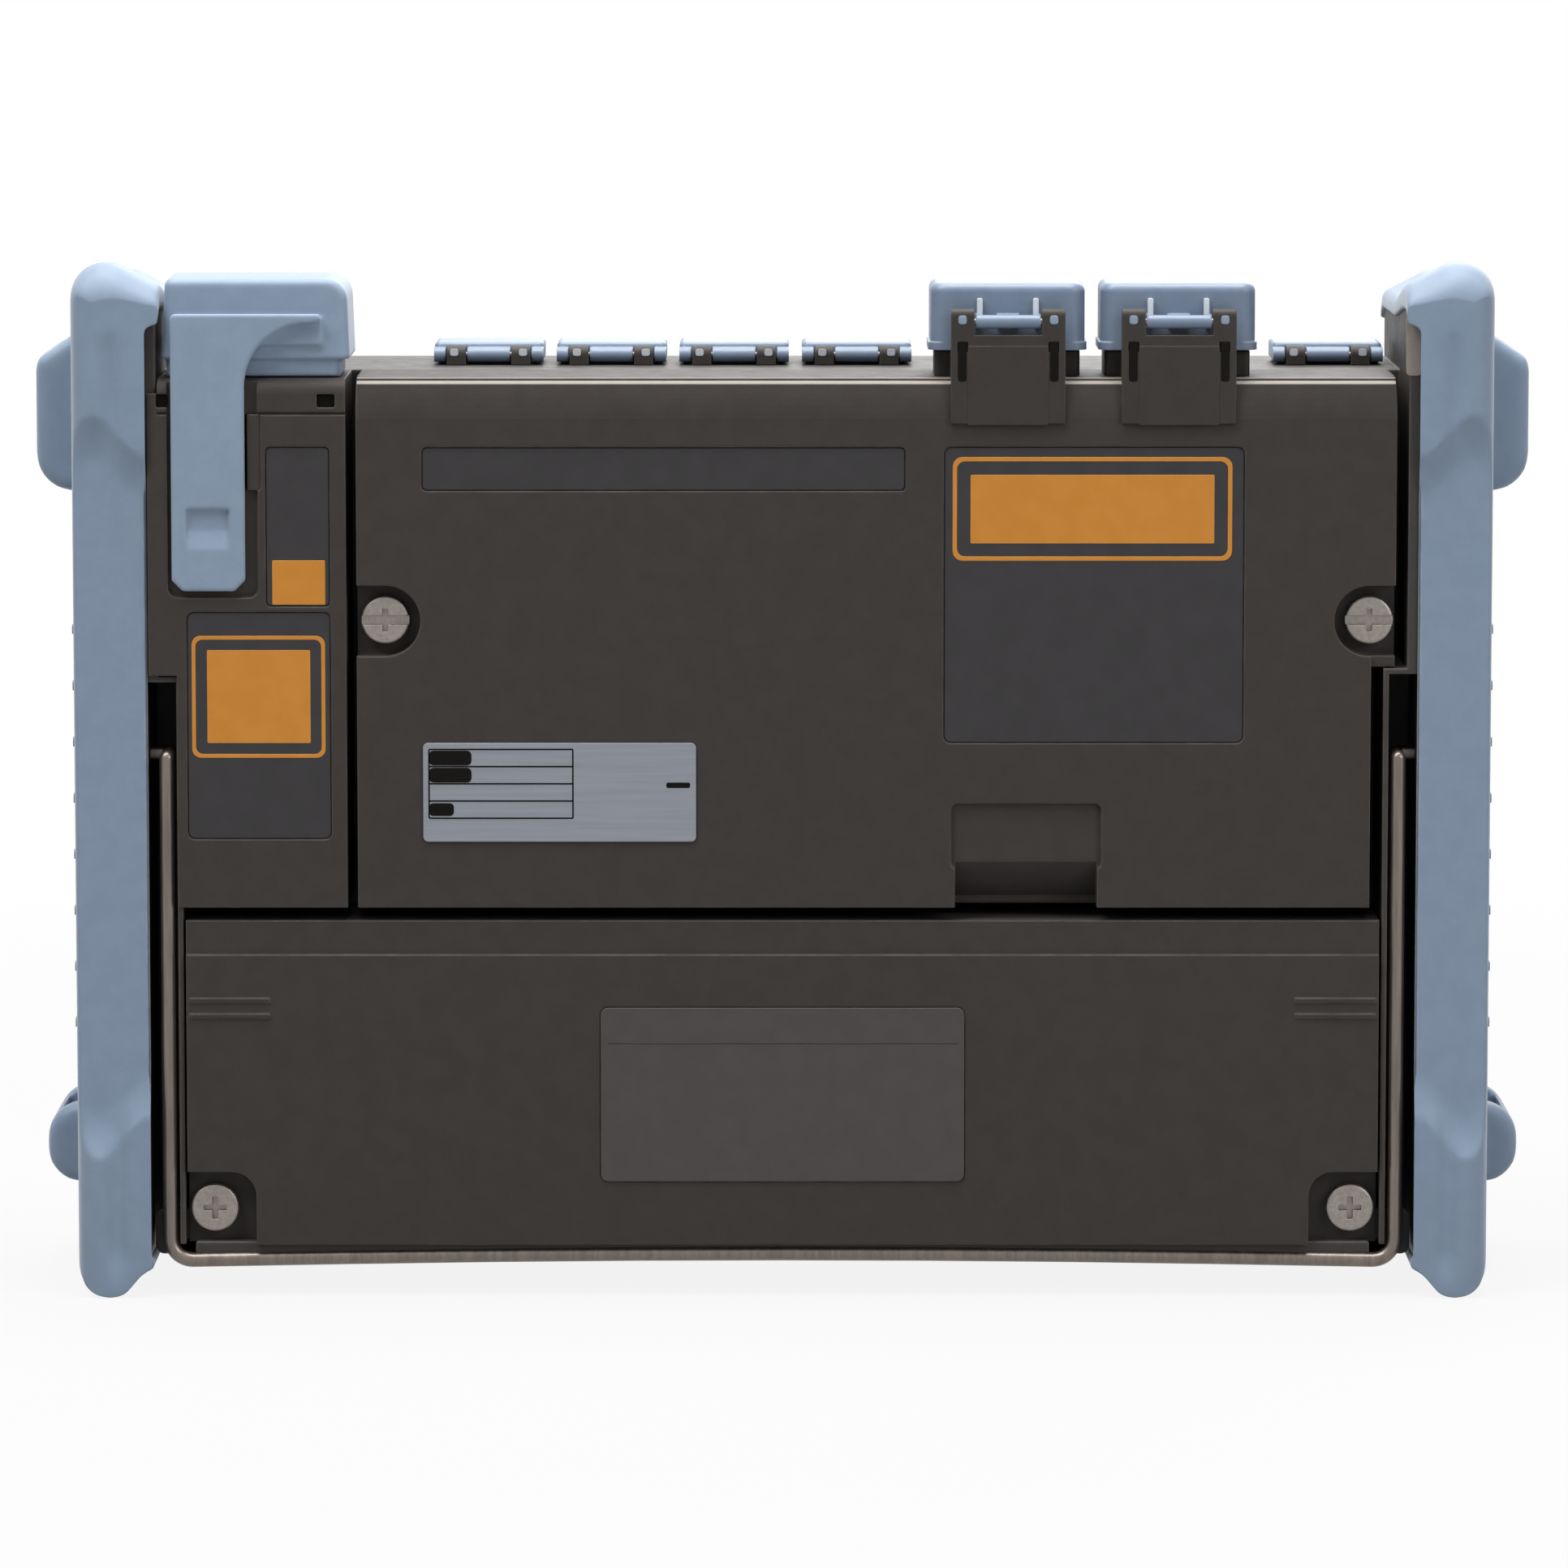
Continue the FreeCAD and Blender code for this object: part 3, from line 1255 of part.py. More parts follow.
flap_axis_z = deck + s.flap_pin_height
seat_top = deck + gap + s.seat_thick
posts = keep(solid("flap_posts"))
for x in FLAPS:
    add(
        posts, "XY", deck + gap, seat_top,
        box(x - s.seat_half, x + s.seat_half, flap_axis + s.post_round + 0.4, flap_axis + s.flap_length, 1.0),
    )
    cut(
        posts, "XY", deck, seat_top,
        box(x - s.socket_hole_wide / 2, x + s.socket_hole_wide / 2,
            socket_y - s.socket_hole_deep / 2, socket_y + s.socket_hole_deep / 2),
    )
    for side in SIDES:
        low, high = ordered(x + s.post_inner * side, x + s.post_outer * side)
        add(
            posts, "YZ", low, high,
            poly((flap_axis - s.post_round, deck + gap), (flap_axis + s.post_round + 0.6, deck + gap),
                 (flap_axis + s.post_round + 0.6, seat_top), (flap_axis + s.post_round, seat_top),
                 (flap_axis + s.post_round, flap_axis_z), (flap_axis - s.post_round, flap_axis_z)),
        )
        add(posts, "YZ", low, high, disc(flap_axis, flap_axis_z, s.post_round))
        cut(posts, "YZ", low, high, disc(flap_axis, flap_axis_z, s.flap_pin_radius + 0.02))

flap_pins = keep(solid("flap_pins"))
for x in FLAPS:
    add(flap_pins, "YZ", x - s.post_outer, x + s.post_outer, disc(flap_axis, flap_axis_z, s.flap_pin_radius))

flap_low = seat_top + s.joint_gap
flap_top = flap_low + s.flap_thick
flap_back = flap_axis + s.post_round + s.joint_gap
flap_end = flap_axis + s.flap_length
for number, x in enumerate(FLAPS, 1):
    flap = keep(solid(f"flap_{number}"))
    half = s.flap_width / 2
    add(flap, "XY", flap_low, flap_top, box(x - half, x + half, flap_back, flap_end, 1.2))
    soften(flap, 0.9, lambda e: abs(e.BoundBox.ZMin - flap_top.value) < 1e-4 and e.BoundBox.ZLength < 1e-4)
    for side in SIDES:
        low, high = ordered(x + half * side, x + (s.post_outer + s.joint_gap) * side)
        add(flap, "YZ", low, high, disc(flap_axis, flap_axis_z, s.flap_knuckle))
        add(
            flap, "YZ", low, high,
            box(flap_axis, flap_back + 1.5, flap_low, flap_axis_z + s.flap_knuckle),
        )
    low, high = x - s.flap_knuckle_half, x + s.flap_knuckle_half
    add(flap, "YZ", low, high, disc(flap_axis, flap_axis_z, s.flap_knuckle))
    add(flap, "YZ", low, high, box(flap_axis, flap_back + 1.5, flap_low, flap_axis_z + s.flap_knuckle))
    cut(flap, "YZ", low, high, disc(flap_axis, flap_axis_z, s.flap_pin_radius + s.pin_clearance))

def around(x, y, width, depth, radius=None):
    """A rectangle about a middle point."""
    half_x, half_y = size(width) / 2, size(depth) / 2
    return box(x - half_x, x + half_x, y - half_y, y + half_y, radius)


sockets = keep(solid("deck_sockets"))
socket_shoulder = deck - s.wall - gap
mouth_floor = deck - s.socket_mouth_deep
for x in FLAPS:
    add(sockets, "XY", deck - s.socket_depth, socket_shoulder,
        around(x, socket_y, s.socket_width, s.socket_thick, 0.6))
    add(
        sockets, "XY", socket_shoulder, deck + 0.4,
        around(x, socket_y, s.socket_hole_wide - s.seam, s.socket_hole_deep - s.seam),
    )
    cut(
        sockets, "XY", mouth_floor, deck + 0.4,
        around(x, socket_y, s.socket_mouth_wide, s.socket_mouth_thick, 0.4),
    )
    add(
        sockets, "XY", mouth_floor, deck - 2.0,
        around(x, socket_y + 2.0, s.socket_mouth_wide - 2.8, 1.2),
    )

# ---------------------------------------------------------------- power-meter port and its rubber cap

strap_y = unit_rear + s.strap_sink - s.joint_gap - s.strap_thick / 2
meter = keep(solid("meter_adapter"))
meter_top, ferrule_top = deck + s.meter_rise, deck + 4.5
meter_floor = deck - 4.0
add(meter, "XY", deck - 12.0, meter_top, disc(meter_x, meter_y, s.meter_radius))
add(meter, "XY", deck + gap, deck + s.wall, disc(meter_x, meter_y, s.meter_flange))
cut(meter, "XY", meter_floor, meter_top, disc(meter_x, meter_y, s.meter_bore))
add(meter, "XY", meter_floor, ferrule_top, disc(meter_x, meter_y, s.sleeve_radius))
cut(meter, "XY", meter_floor, ferrule_top, disc(meter_x, meter_y, s.ferrule_bore))

cap = keep(solid("meter_cap"))
cap_left, cap_right = s.joint_gap - bumper_cap_inner, module_right + s.cap_over
cap_low = deck + s.joint_gap
cap_top, cap_skirt = deck + s.cap_rise, deck + s.cap_skirt
cap_front = cap_rear + s.cap_depth
skirt = s.cap_skirt_set
add(
    cap, "XZ", cap_rear, cap_front,
    poly((cap_left, cap_skirt), (cap_right, cap_skirt), (cap_right - 0.6, cap_top, 4.5),
         (cap_left + 0.9, cap_top, 1.5)),
)
soften(cap, 1.6, lambda e: e.BoundBox.YLength < 1e-4 and e.BoundBox.ZMax > cap_skirt.value + 1.0)
add(
    cap, "XY", cap_low, cap_skirt,
    box(cap_left + skirt, cap_right - skirt * 2, cap_rear + skirt, cap_front - skirt, 1.5),
)
inset = skirt + s.cap_wall
cut(
    cap, "XY", cap_low, cap_top - s.cap_wall,
    box(cap_left + inset, cap_right - skirt - inset, cap_rear + inset, cap_front - inset, 1.5),
)
strap_back, strap_face = strap_y - s.strap_thick / 2, strap_y + s.strap_thick / 2
strap_top = deck + s.strap_rise
tab_right = strap_left + s.tab_width
add(
    cap, "XZ", strap_back, strap_face,
    poly((strap_left, strap_bend + 1.6), (strap_right, strap_bend + 1.6),
         (strap_right, strap_top - 3.0, s.strap_gusset),
         (tab_right, strap_top - 1.6), (tab_right, strap_top, 0.5), (strap_left, strap_top, 1.0)),
)
add(cap, "XZ", strap_face, cap_rear + 1.2,
    box(strap_left + 1.0, tab_right, strap_top - s.tab_drop, strap_top - 0.8))
strap = keep(solid("meter_strap"))
tail_cut = size(2.2)
add(
    strap, "XZ", strap_back, strap_face,
    poly((strap_left, strap_tail + tail_cut), (strap_left + tail_cut, strap_tail),
         (strap_right - tail_cut, strap_tail), (strap_right, strap_tail + tail_cut),
         (strap_right, strap_bend - s.joint_gap), (strap_left, strap_bend - s.joint_gap)),
)
thumb_x = strap_left + s.strap_width / 2
thumb_top = strap_tail + s.thumb_rise
cut(
    strap, "YZ", thumb_x - s.thumb_width / 2, thumb_x + s.thumb_width / 2,
    poly((strap_back - 0.1, thumb_top), (strap_back + s.thumb_depth, thumb_top),
         (strap_back + s.thumb_depth, thumb_top - s.thumb_height / 2),
         (strap_back - 0.1, thumb_top - s.thumb_height)),
)
add(
    strap, "XZ", strap_face, strap_face + s.joint_gap - gap,
    span(strap_left + 1.5, strap_right - 1.5, strap_tail + 3.0, strap_tail + 12.0),
)

# ---------------------------------------------------------------- inside the units and the battery bay

keep(block(
    "battery_pack", -(well_inner - 7.0), well_inner - 7.0, unit_inside_rear + 1.3, bulkhead_rear - s.seam,
    s.cover_bottom + 3.5, s.cover_top - 3.0,
))
board_rear = bulkhead_rear - s.unit_board_set
board_front_face = board_rear + s.board_thick
board_x = (unit_left + 20.0, unit_right - 15.8)
board_z = (unit_bottom + 16.3, deck - 4.0)
unit_board = keep(solid("unit_board"))
add(unit_board, "XZ", board_rear, board_front_face, box(*board_x, *board_z, 2.0))
unit_posts = keep(solid("board_posts"))
corners = [(x, z) for x in (board_x[0] + 4.0, board_x[1] - 4.0) for z in (board_z[0] + 4.0, board_z[1] - 4.0)]
add(
    unit_posts, "XZ", board_front_face + s.seam, bulkhead_rear - s.seam,
    *[disc(x, z, s.key_post_radius) for x, z in corners],
)
reel = keep(solid("fibre_reel"))
reel_x, reel_z = unit_left + s.reel_radius * 2 + 20.0, deck - s.reel_radius - 23.0
reel_back = board_rear - s.reel_height
reel_front = board_rear - s.seam
add(reel, "XZ", reel_back, reel_front, disc(reel_x, reel_z, s.reel_radius))
cut(reel, "XZ", reel_back + s.reel_cheek, reel_front - s.reel_cheek,
    disc(reel_x, reel_z, s.reel_radius + 0.5))
add(reel, "XZ", reel_back + s.reel_cheek, reel_front - s.reel_cheek, disc(reel_x, reel_z, s.reel_core))
keep(block(
    "optical_block", reel_x + s.reel_radius + 28.0, unit_right - 31.8, reel_back - 5.0, reel_front,
    unit_bottom + 40.3, deck - 27.0,
))
module_board_rear = bulkhead_rear - s.module_board_set
module_x = (module_left + 8.0, module_right - 3.9)
module_z = (unit_bottom + 10.3, deck - 11.0)
module_board = keep(solid("module_board"))
add(module_board, "XZ", module_board_rear, module_board_rear + s.board_thick, box(*module_x, *module_z, 1.5))
corners = [(x, z) for x in (module_x[0] + 4.0, module_x[1] - 4.0) for z in (module_z[0] + 4.0,
                                                                            module_z[1] - 4.0)]
add(
    unit_posts, "XZ", module_board_rear + s.board_thick + s.seam, bulkhead_rear - s.seam,
    *[disc(x, z, s.key_post_radius) for x, z in corners],
)

# ---------------------------------------------------------------- checks and export

doc.recompute()
for item in doc.Objects:
    if "Invalid" in item.State or "Error" in item.State:
        raise ValueError(f"{item.Label}: {item.State}")
os.makedirs("parts", exist_ok=True)
for piece in parts:
    shape = piece.Shape
    if shape.isNull() or not shape.isValid() or not shape.Solids:
        raise ValueError(f"{piece.Label} has no sound solid")
    shape.exportStep(f"parts/{piece.Label}.step")
    print(f"{piece.Label}: {len(shape.Solids)} solid(s), {shape.Volume / 1000:.2f} cm3")
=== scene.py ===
import math

import bmesh
import bpy
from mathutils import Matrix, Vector


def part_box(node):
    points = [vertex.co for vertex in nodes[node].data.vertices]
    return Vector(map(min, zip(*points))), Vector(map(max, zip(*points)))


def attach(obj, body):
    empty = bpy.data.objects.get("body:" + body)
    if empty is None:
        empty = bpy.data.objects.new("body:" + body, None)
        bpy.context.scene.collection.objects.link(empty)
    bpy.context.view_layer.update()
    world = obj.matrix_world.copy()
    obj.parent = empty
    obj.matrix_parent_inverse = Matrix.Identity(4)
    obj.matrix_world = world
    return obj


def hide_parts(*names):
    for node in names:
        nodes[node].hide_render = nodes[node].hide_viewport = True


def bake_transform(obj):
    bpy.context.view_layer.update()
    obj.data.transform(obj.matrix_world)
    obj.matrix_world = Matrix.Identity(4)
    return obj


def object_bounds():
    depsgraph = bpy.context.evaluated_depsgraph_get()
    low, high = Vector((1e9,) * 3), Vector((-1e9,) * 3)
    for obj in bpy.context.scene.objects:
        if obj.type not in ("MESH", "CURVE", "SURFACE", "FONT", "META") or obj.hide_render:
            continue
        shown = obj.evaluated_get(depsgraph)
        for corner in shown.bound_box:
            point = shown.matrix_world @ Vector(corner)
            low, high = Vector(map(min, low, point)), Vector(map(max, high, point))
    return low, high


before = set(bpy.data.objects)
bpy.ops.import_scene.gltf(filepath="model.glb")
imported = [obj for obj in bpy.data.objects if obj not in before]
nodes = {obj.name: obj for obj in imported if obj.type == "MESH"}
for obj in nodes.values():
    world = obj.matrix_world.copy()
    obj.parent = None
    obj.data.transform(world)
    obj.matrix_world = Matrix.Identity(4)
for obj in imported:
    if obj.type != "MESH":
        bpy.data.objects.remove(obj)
cadBox = [list(corner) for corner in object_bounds()]
scene = bpy.context.scene
scene.view_settings.view_transform = "Standard"
print("frame loaded:", len(nodes), "nodes")


def mm(*values):
    # millimetres to metres
    scaled = [value / 1000 for value in values]
    return scaled[0] if len(scaled) == 1 else Vector(scaled)


def tone(red, green, blue):
    # a screen colour, 0 to 255, as a linear colour
    parts = [value / 255 for value in (red, green, blue)]
    linear = [p / 12.92 if p <= 0.04045 else ((p + 0.055) / 1.055) ** 2.4 for p in parts]
    return (*linear, 1.0)


# helpers for node trees

def plug(tree, value, socket):
    # a socket is linked, anything else becomes the input's own value
    if isinstance(value, bpy.types.NodeSocket):
        tree.links.new(value, socket)
    else:
        socket.default_value = value


def plugAll(tree, node, **inputs):
    # inputs by name, with _ for a space
    for label, value in inputs.items():
        plug(tree, value, node.inputs[label.replace("_", " ")])


def addNode(tree, kind, settings=None, **inputs):
    # settings are the node's own choices
    node = tree.nodes.new(kind)
    for key, value in (settings or {}).items():
        setattr(node, key, value)
    plugAll(tree, node, **inputs)
    return node


def addMath(tree, operation, *values):
    node = addNode(tree, "ShaderNodeMath", {"operation": operation})
    for value, socket in zip(values, node.inputs):
        plug(tree, value, socket)
    return node.outputs[0]


def addNoise(tree, vector, scale, detail, roughness):
    node = addNode(tree, "ShaderNodeTexNoise", Vector=vector, Scale=scale, Detail=detail, Roughness=roughness)
    return node.outputs["Fac"]


def addRange(tree, value, low, high, toLow, toHigh):
    # an eased step from one value to another
    node = addNode(
        tree, "ShaderNodeMapRange", {"interpolation_type": "SMOOTHSTEP"},
        Value=value, From_Min=low, From_Max=high, To_Min=toLow, To_Max=toHigh,
    )
    return node.outputs["Result"]


def addGroup(tree, group, **inputs):
    return addNode(tree, "ShaderNodeGroup", {"node_tree": group}, **inputs).outputs


def objectPlace(tree):
    return addNode(tree, "ShaderNodeTexCoord").outputs["Object"]


def blendColour(tree, amount, first, second):
    node = addNode(tree, "ShaderNodeMix", {"data_type": "RGBA"}, Factor=amount)
    plug(tree, first, node.inputs[6])
    plug(tree, second, node.inputs[7])
    return node.outputs[2]


def newMaterial(name):
    material = bpy.data.materials.new(name)
    material.use_nodes = True
    return material, material.node_tree, material.node_tree.nodes["Principled BSDF"]


# camera, floor and light

cameraPlace = {
    "distance": 1.7,  # from the bumpers' rear faces
    "height": 0.298,
    "aimHeight": 0.1052,
    "viewWidth": 0.3168,  # width seen at the bumpers' rear faces
    "aimX": 0.0003,
}
studio = {
    "worldFill": 0.15,  # strength of the white world as a light; the eye sees it at 1
    "floorTone": (0.36, 0.36, 0.36, 1.0),
    "floorRough": 0.9,
    "floorHalf": 60.0,
    "floorDrop": 0.0002,
    "nearGlow": 0.88,  # share of plain white in the floor beside the part
    "glowFrom": 0.26,  # distance from the middle where the floor starts to turn plain white
    "glowTo": 0.75,
    "lampAim": (0.0, 0.0, 0.1),
    # name: place, size, power, colour
    "lamps": {
        "softboxLeft": ((-0.75, -0.7, 1.35), 0.6, 13.5, (1.0, 0.995, 0.985)),
        "softboxRight": ((1.3, -1.2, 0.9), 0.8, 11.0, (0.985, 0.99, 1.0)),
        "softboxTop": ((0.0, -0.02, 1.25), 0.9, 25.0, (1.0, 1.0, 1.0)),
        "softboxScreenSide": ((0.4, 1.6, 1.1), 1.2, 14.0, (1.0, 1.0, 1.0)),
    },
}


def makeCamera():
    camera = bpy.data.objects.new("camera", bpy.data.cameras.new("camera"))
    scene.collection.objects.link(camera)
    rearFace = cadBox[0][1]
    place = Vector((cameraPlace["aimX"], rearFace - cameraPlace["distance"], cameraPlace["height"]))
    aim = Vector((cameraPlace["aimX"], rearFace, cameraPlace["aimHeight"]))
    camera.location = place
    camera.rotation_mode = "QUATERNION"
    camera.rotation_quaternion = (aim - place).to_track_quat("-Z", "Y")
    reach = (aim - place).length
    camera.data.lens = camera.data.sensor_width * reach / cameraPlace["viewWidth"]
    scene.camera = camera


def seenDirectly(tree):
    # 1 for rays that show the background itself: camera, glossy and transmission rays
    rays = addNode(tree, "ShaderNodeLightPath").outputs
    seen = addMath(tree, "MAXIMUM", rays["Is Camera Ray"], rays["Is Glossy Ray"])
    return addMath(tree, "MAXIMUM", seen, rays["Is Transmission Ray"])


def makeWorld():
    world = bpy.data.worlds.new("studio")
    world.use_nodes = True
    scene.world = world
    tree = world.node_tree
    strength = addNode(tree, "ShaderNodeMapRange", Value=seenDirectly(tree), To_Min=studio["worldFill"], To_Max=1.0)
    background = tree.nodes["Background"]
    plugAll(tree, background, Color=(1.0, 1.0, 1.0, 1.0), Strength=strength.outputs["Result"])


def makeFloor():
    half = studio["floorHalf"]
    floorMesh = bpy.data.meshes.new("floor")
    corners = [(-half, -half, 0.0), (half, -half, 0.0), (half, half, 0.0), (-half, half, 0.0)]
    floorMesh.from_pydata(corners, [], [(0, 1, 2, 3)])
    floor = bpy.data.objects.new("floor", floorMesh)
    scene.collection.objects.link(floor)
    floor.location.z = -studio["floorDrop"]
    paint, tree, shader = newMaterial("floorPaint")
    plugAll(tree, shader, Base_Color=studio["floorTone"], Roughness=studio["floorRough"])
    glow = addNode(tree, "ShaderNodeEmission", Color=(1.0, 1.0, 1.0, 1.0))
    away = addNode(tree, "ShaderNodeVectorMath", {"operation": "LENGTH"}, Vector=objectPlace(tree))
    share = addRange(tree, away.outputs["Value"], studio["glowFrom"], studio["glowTo"], studio["nearGlow"], 1.0)
    mix = addNode(tree, "ShaderNodeMixShader", Fac=addMath(tree, "MULTIPLY", share, seenDirectly(tree)))
    plug(tree, shader.outputs[0], mix.inputs[1])
    plug(tree, glow.outputs[0], mix.inputs[2])
    plug(tree, mix.outputs[0], tree.nodes["Material Output"].inputs["Surface"])
    floorMesh.materials.append(paint)


def makeLamps():
    for name, (place, size, power, colour) in studio["lamps"].items():
        lamp = bpy.data.lights.new(name, "AREA")
        lamp.shape = "SQUARE"
        lamp.size = size
        lamp.energy = power
        lamp.color = colour
        softbox = bpy.data.objects.new(name, lamp)
        softbox.location = place
        softbox.rotation_mode = "QUATERNION"
        softbox.rotation_quaternion = (Vector(studio["lampAim"]) - Vector(place)).to_track_quat("-Z", "Y")
        scene.collection.objects.link(softbox)


makeCamera()
makeWorld()
makeFloor()
makeLamps()
print("camera, floor and lights made")


# shader groups that several finishes share

effects = {
    "grainFine": 2600.0,  # scales of the noise, per metre
    "grainPebble": 1500.0,
    "grainSlow": 220.0,
    "pebbleShare": 0.6,
    "rubSamples": 6,
    "rubTurn": (0.01, 0.16),  # how far the rounded normal leans where rub starts and is full
    "rubPatch": 140.0,
    "rubKept": (0.35, 0.65),
    "dustTilt": (0.5, 1.0),
    "dustPatch": 90.0,
    "dustKept": (0.3, 0.7),
    "dustLeast": 0.3,
}


def newGroup(name, inputs, outputs):
    # inputs are name and default, outputs are name and kind
    group = bpy.data.node_groups.new(name, "ShaderNodeTree")
    for label, default in inputs.items():
        socket = group.interface.new_socket(name=label, in_out="INPUT", socket_type="NodeSocketFloat")
        socket.default_value = default
    for label, kind in outputs.items():
        group.interface.new_socket(name=label, in_out="OUTPUT", socket_type=f"NodeSocket{kind}")
    return group, group.nodes.new("NodeGroupInput").outputs, group.nodes.new("NodeGroupOutput").inputs


def makeSparkGrain():
    # moulded spark-erosion grain: a fine, even pebble with a slow unevenness over it
    group, given, result = newGroup(
        "sparkGrain", {"Scale": 1.0, "Unevenness": 0.3}, {"Height": "Float", "Mottle": "Float"}
    )
    place = objectPlace(group)
    fine = addNoise(group, place, addMath(group, "MULTIPLY", given["Scale"], effects["grainFine"]), 3.0, 0.6)
    pebble = addNode(
        group, "ShaderNodeTexVoronoi", {"feature": "SMOOTH_F1"}, Smoothness=0.6, Vector=place,
        Scale=addMath(group, "MULTIPLY", given["Scale"], effects["grainPebble"]),
    )
    slow = addNoise(group, place, effects["grainSlow"], 5.0, 0.62)
    height = addMath(group, "MULTIPLY_ADD", pebble.outputs["Distance"], effects["pebbleShare"], fine)
    plug(group, height, result["Height"])
    plug(group, addMath(group, "MULTIPLY", slow, given["Unevenness"]), result["Mottle"])
    return group


def makeEdgeRub():
    # a mask of edges that hands and cases have rubbed, broken up by noise, and a rounded normal
    group, given, result = newGroup(
        "edgeRub", {"Width": 0.0006, "Patchiness": 0.5}, {"Mask": "Float", "Rounded Normal": "Vector"}
    )
    bevel = addNode(group, "ShaderNodeBevel", {"samples": effects["rubSamples"]}, Radius=given["Width"])
    flat = addNode(group, "ShaderNodeNewGeometry").outputs["Normal"]
    along = addNode(group, "ShaderNodeVectorMath", {"operation": "DOT_PRODUCT"})
    plug(group, bevel.outputs[0], along.inputs[0])
    plug(group, flat, along.inputs[1])
    turned = addMath(group, "SUBTRACT", 1.0, along.outputs["Value"])
    sharp = addRange(group, turned, *effects["rubTurn"], 0.0, 1.0)
    patches = addNoise(group, objectPlace(group), effects["rubPatch"], 4.0, 0.65)
    least = addMath(group, "SUBTRACT", 1.0, given["Patchiness"])
    kept = addRange(group, patches, *effects["rubKept"], least, 1.0)
    plug(group, addMath(group, "MULTIPLY", sharp, kept), result["Mask"])
    plug(group, bevel.outputs[0], result["Rounded Normal"])
    return group


def makeDustFilm():
    # a faint pale film that lies on faces that look up, thicker in slow patches
    group, given, result = newGroup("dustFilm", {"Amount": 0.1}, {"Mask": "Float"})
    normal = addNode(group, "ShaderNodeNewGeometry").outputs["Normal"]
    parts = addNode(group, "ShaderNodeSeparateXYZ", Vector=normal)
    upward = addRange(group, parts.outputs["Z"], *effects["dustTilt"], 0.0, 1.0)
    patches = addNoise(group, objectPlace(group), effects["dustPatch"], 5.0, 0.6)
    kept = addRange(group, patches, *effects["dustKept"], effects["dustLeast"], 1.0)
    film = addMath(group, "MULTIPLY", upward, kept)
    plug(group, addMath(group, "MULTIPLY", film, given["Amount"]), result["Mask"])
    return group


sparkGrain = makeSparkGrain()
edgeRub = makeEdgeRub()
dustFilm = makeDustFilm()


# finishes

dustTone = tone(190, 188, 184)
finishParts = ("base", "drift", "rubbed", "dust", "rough", "grain", "grainDepth", "edge", "specular", "sheen")
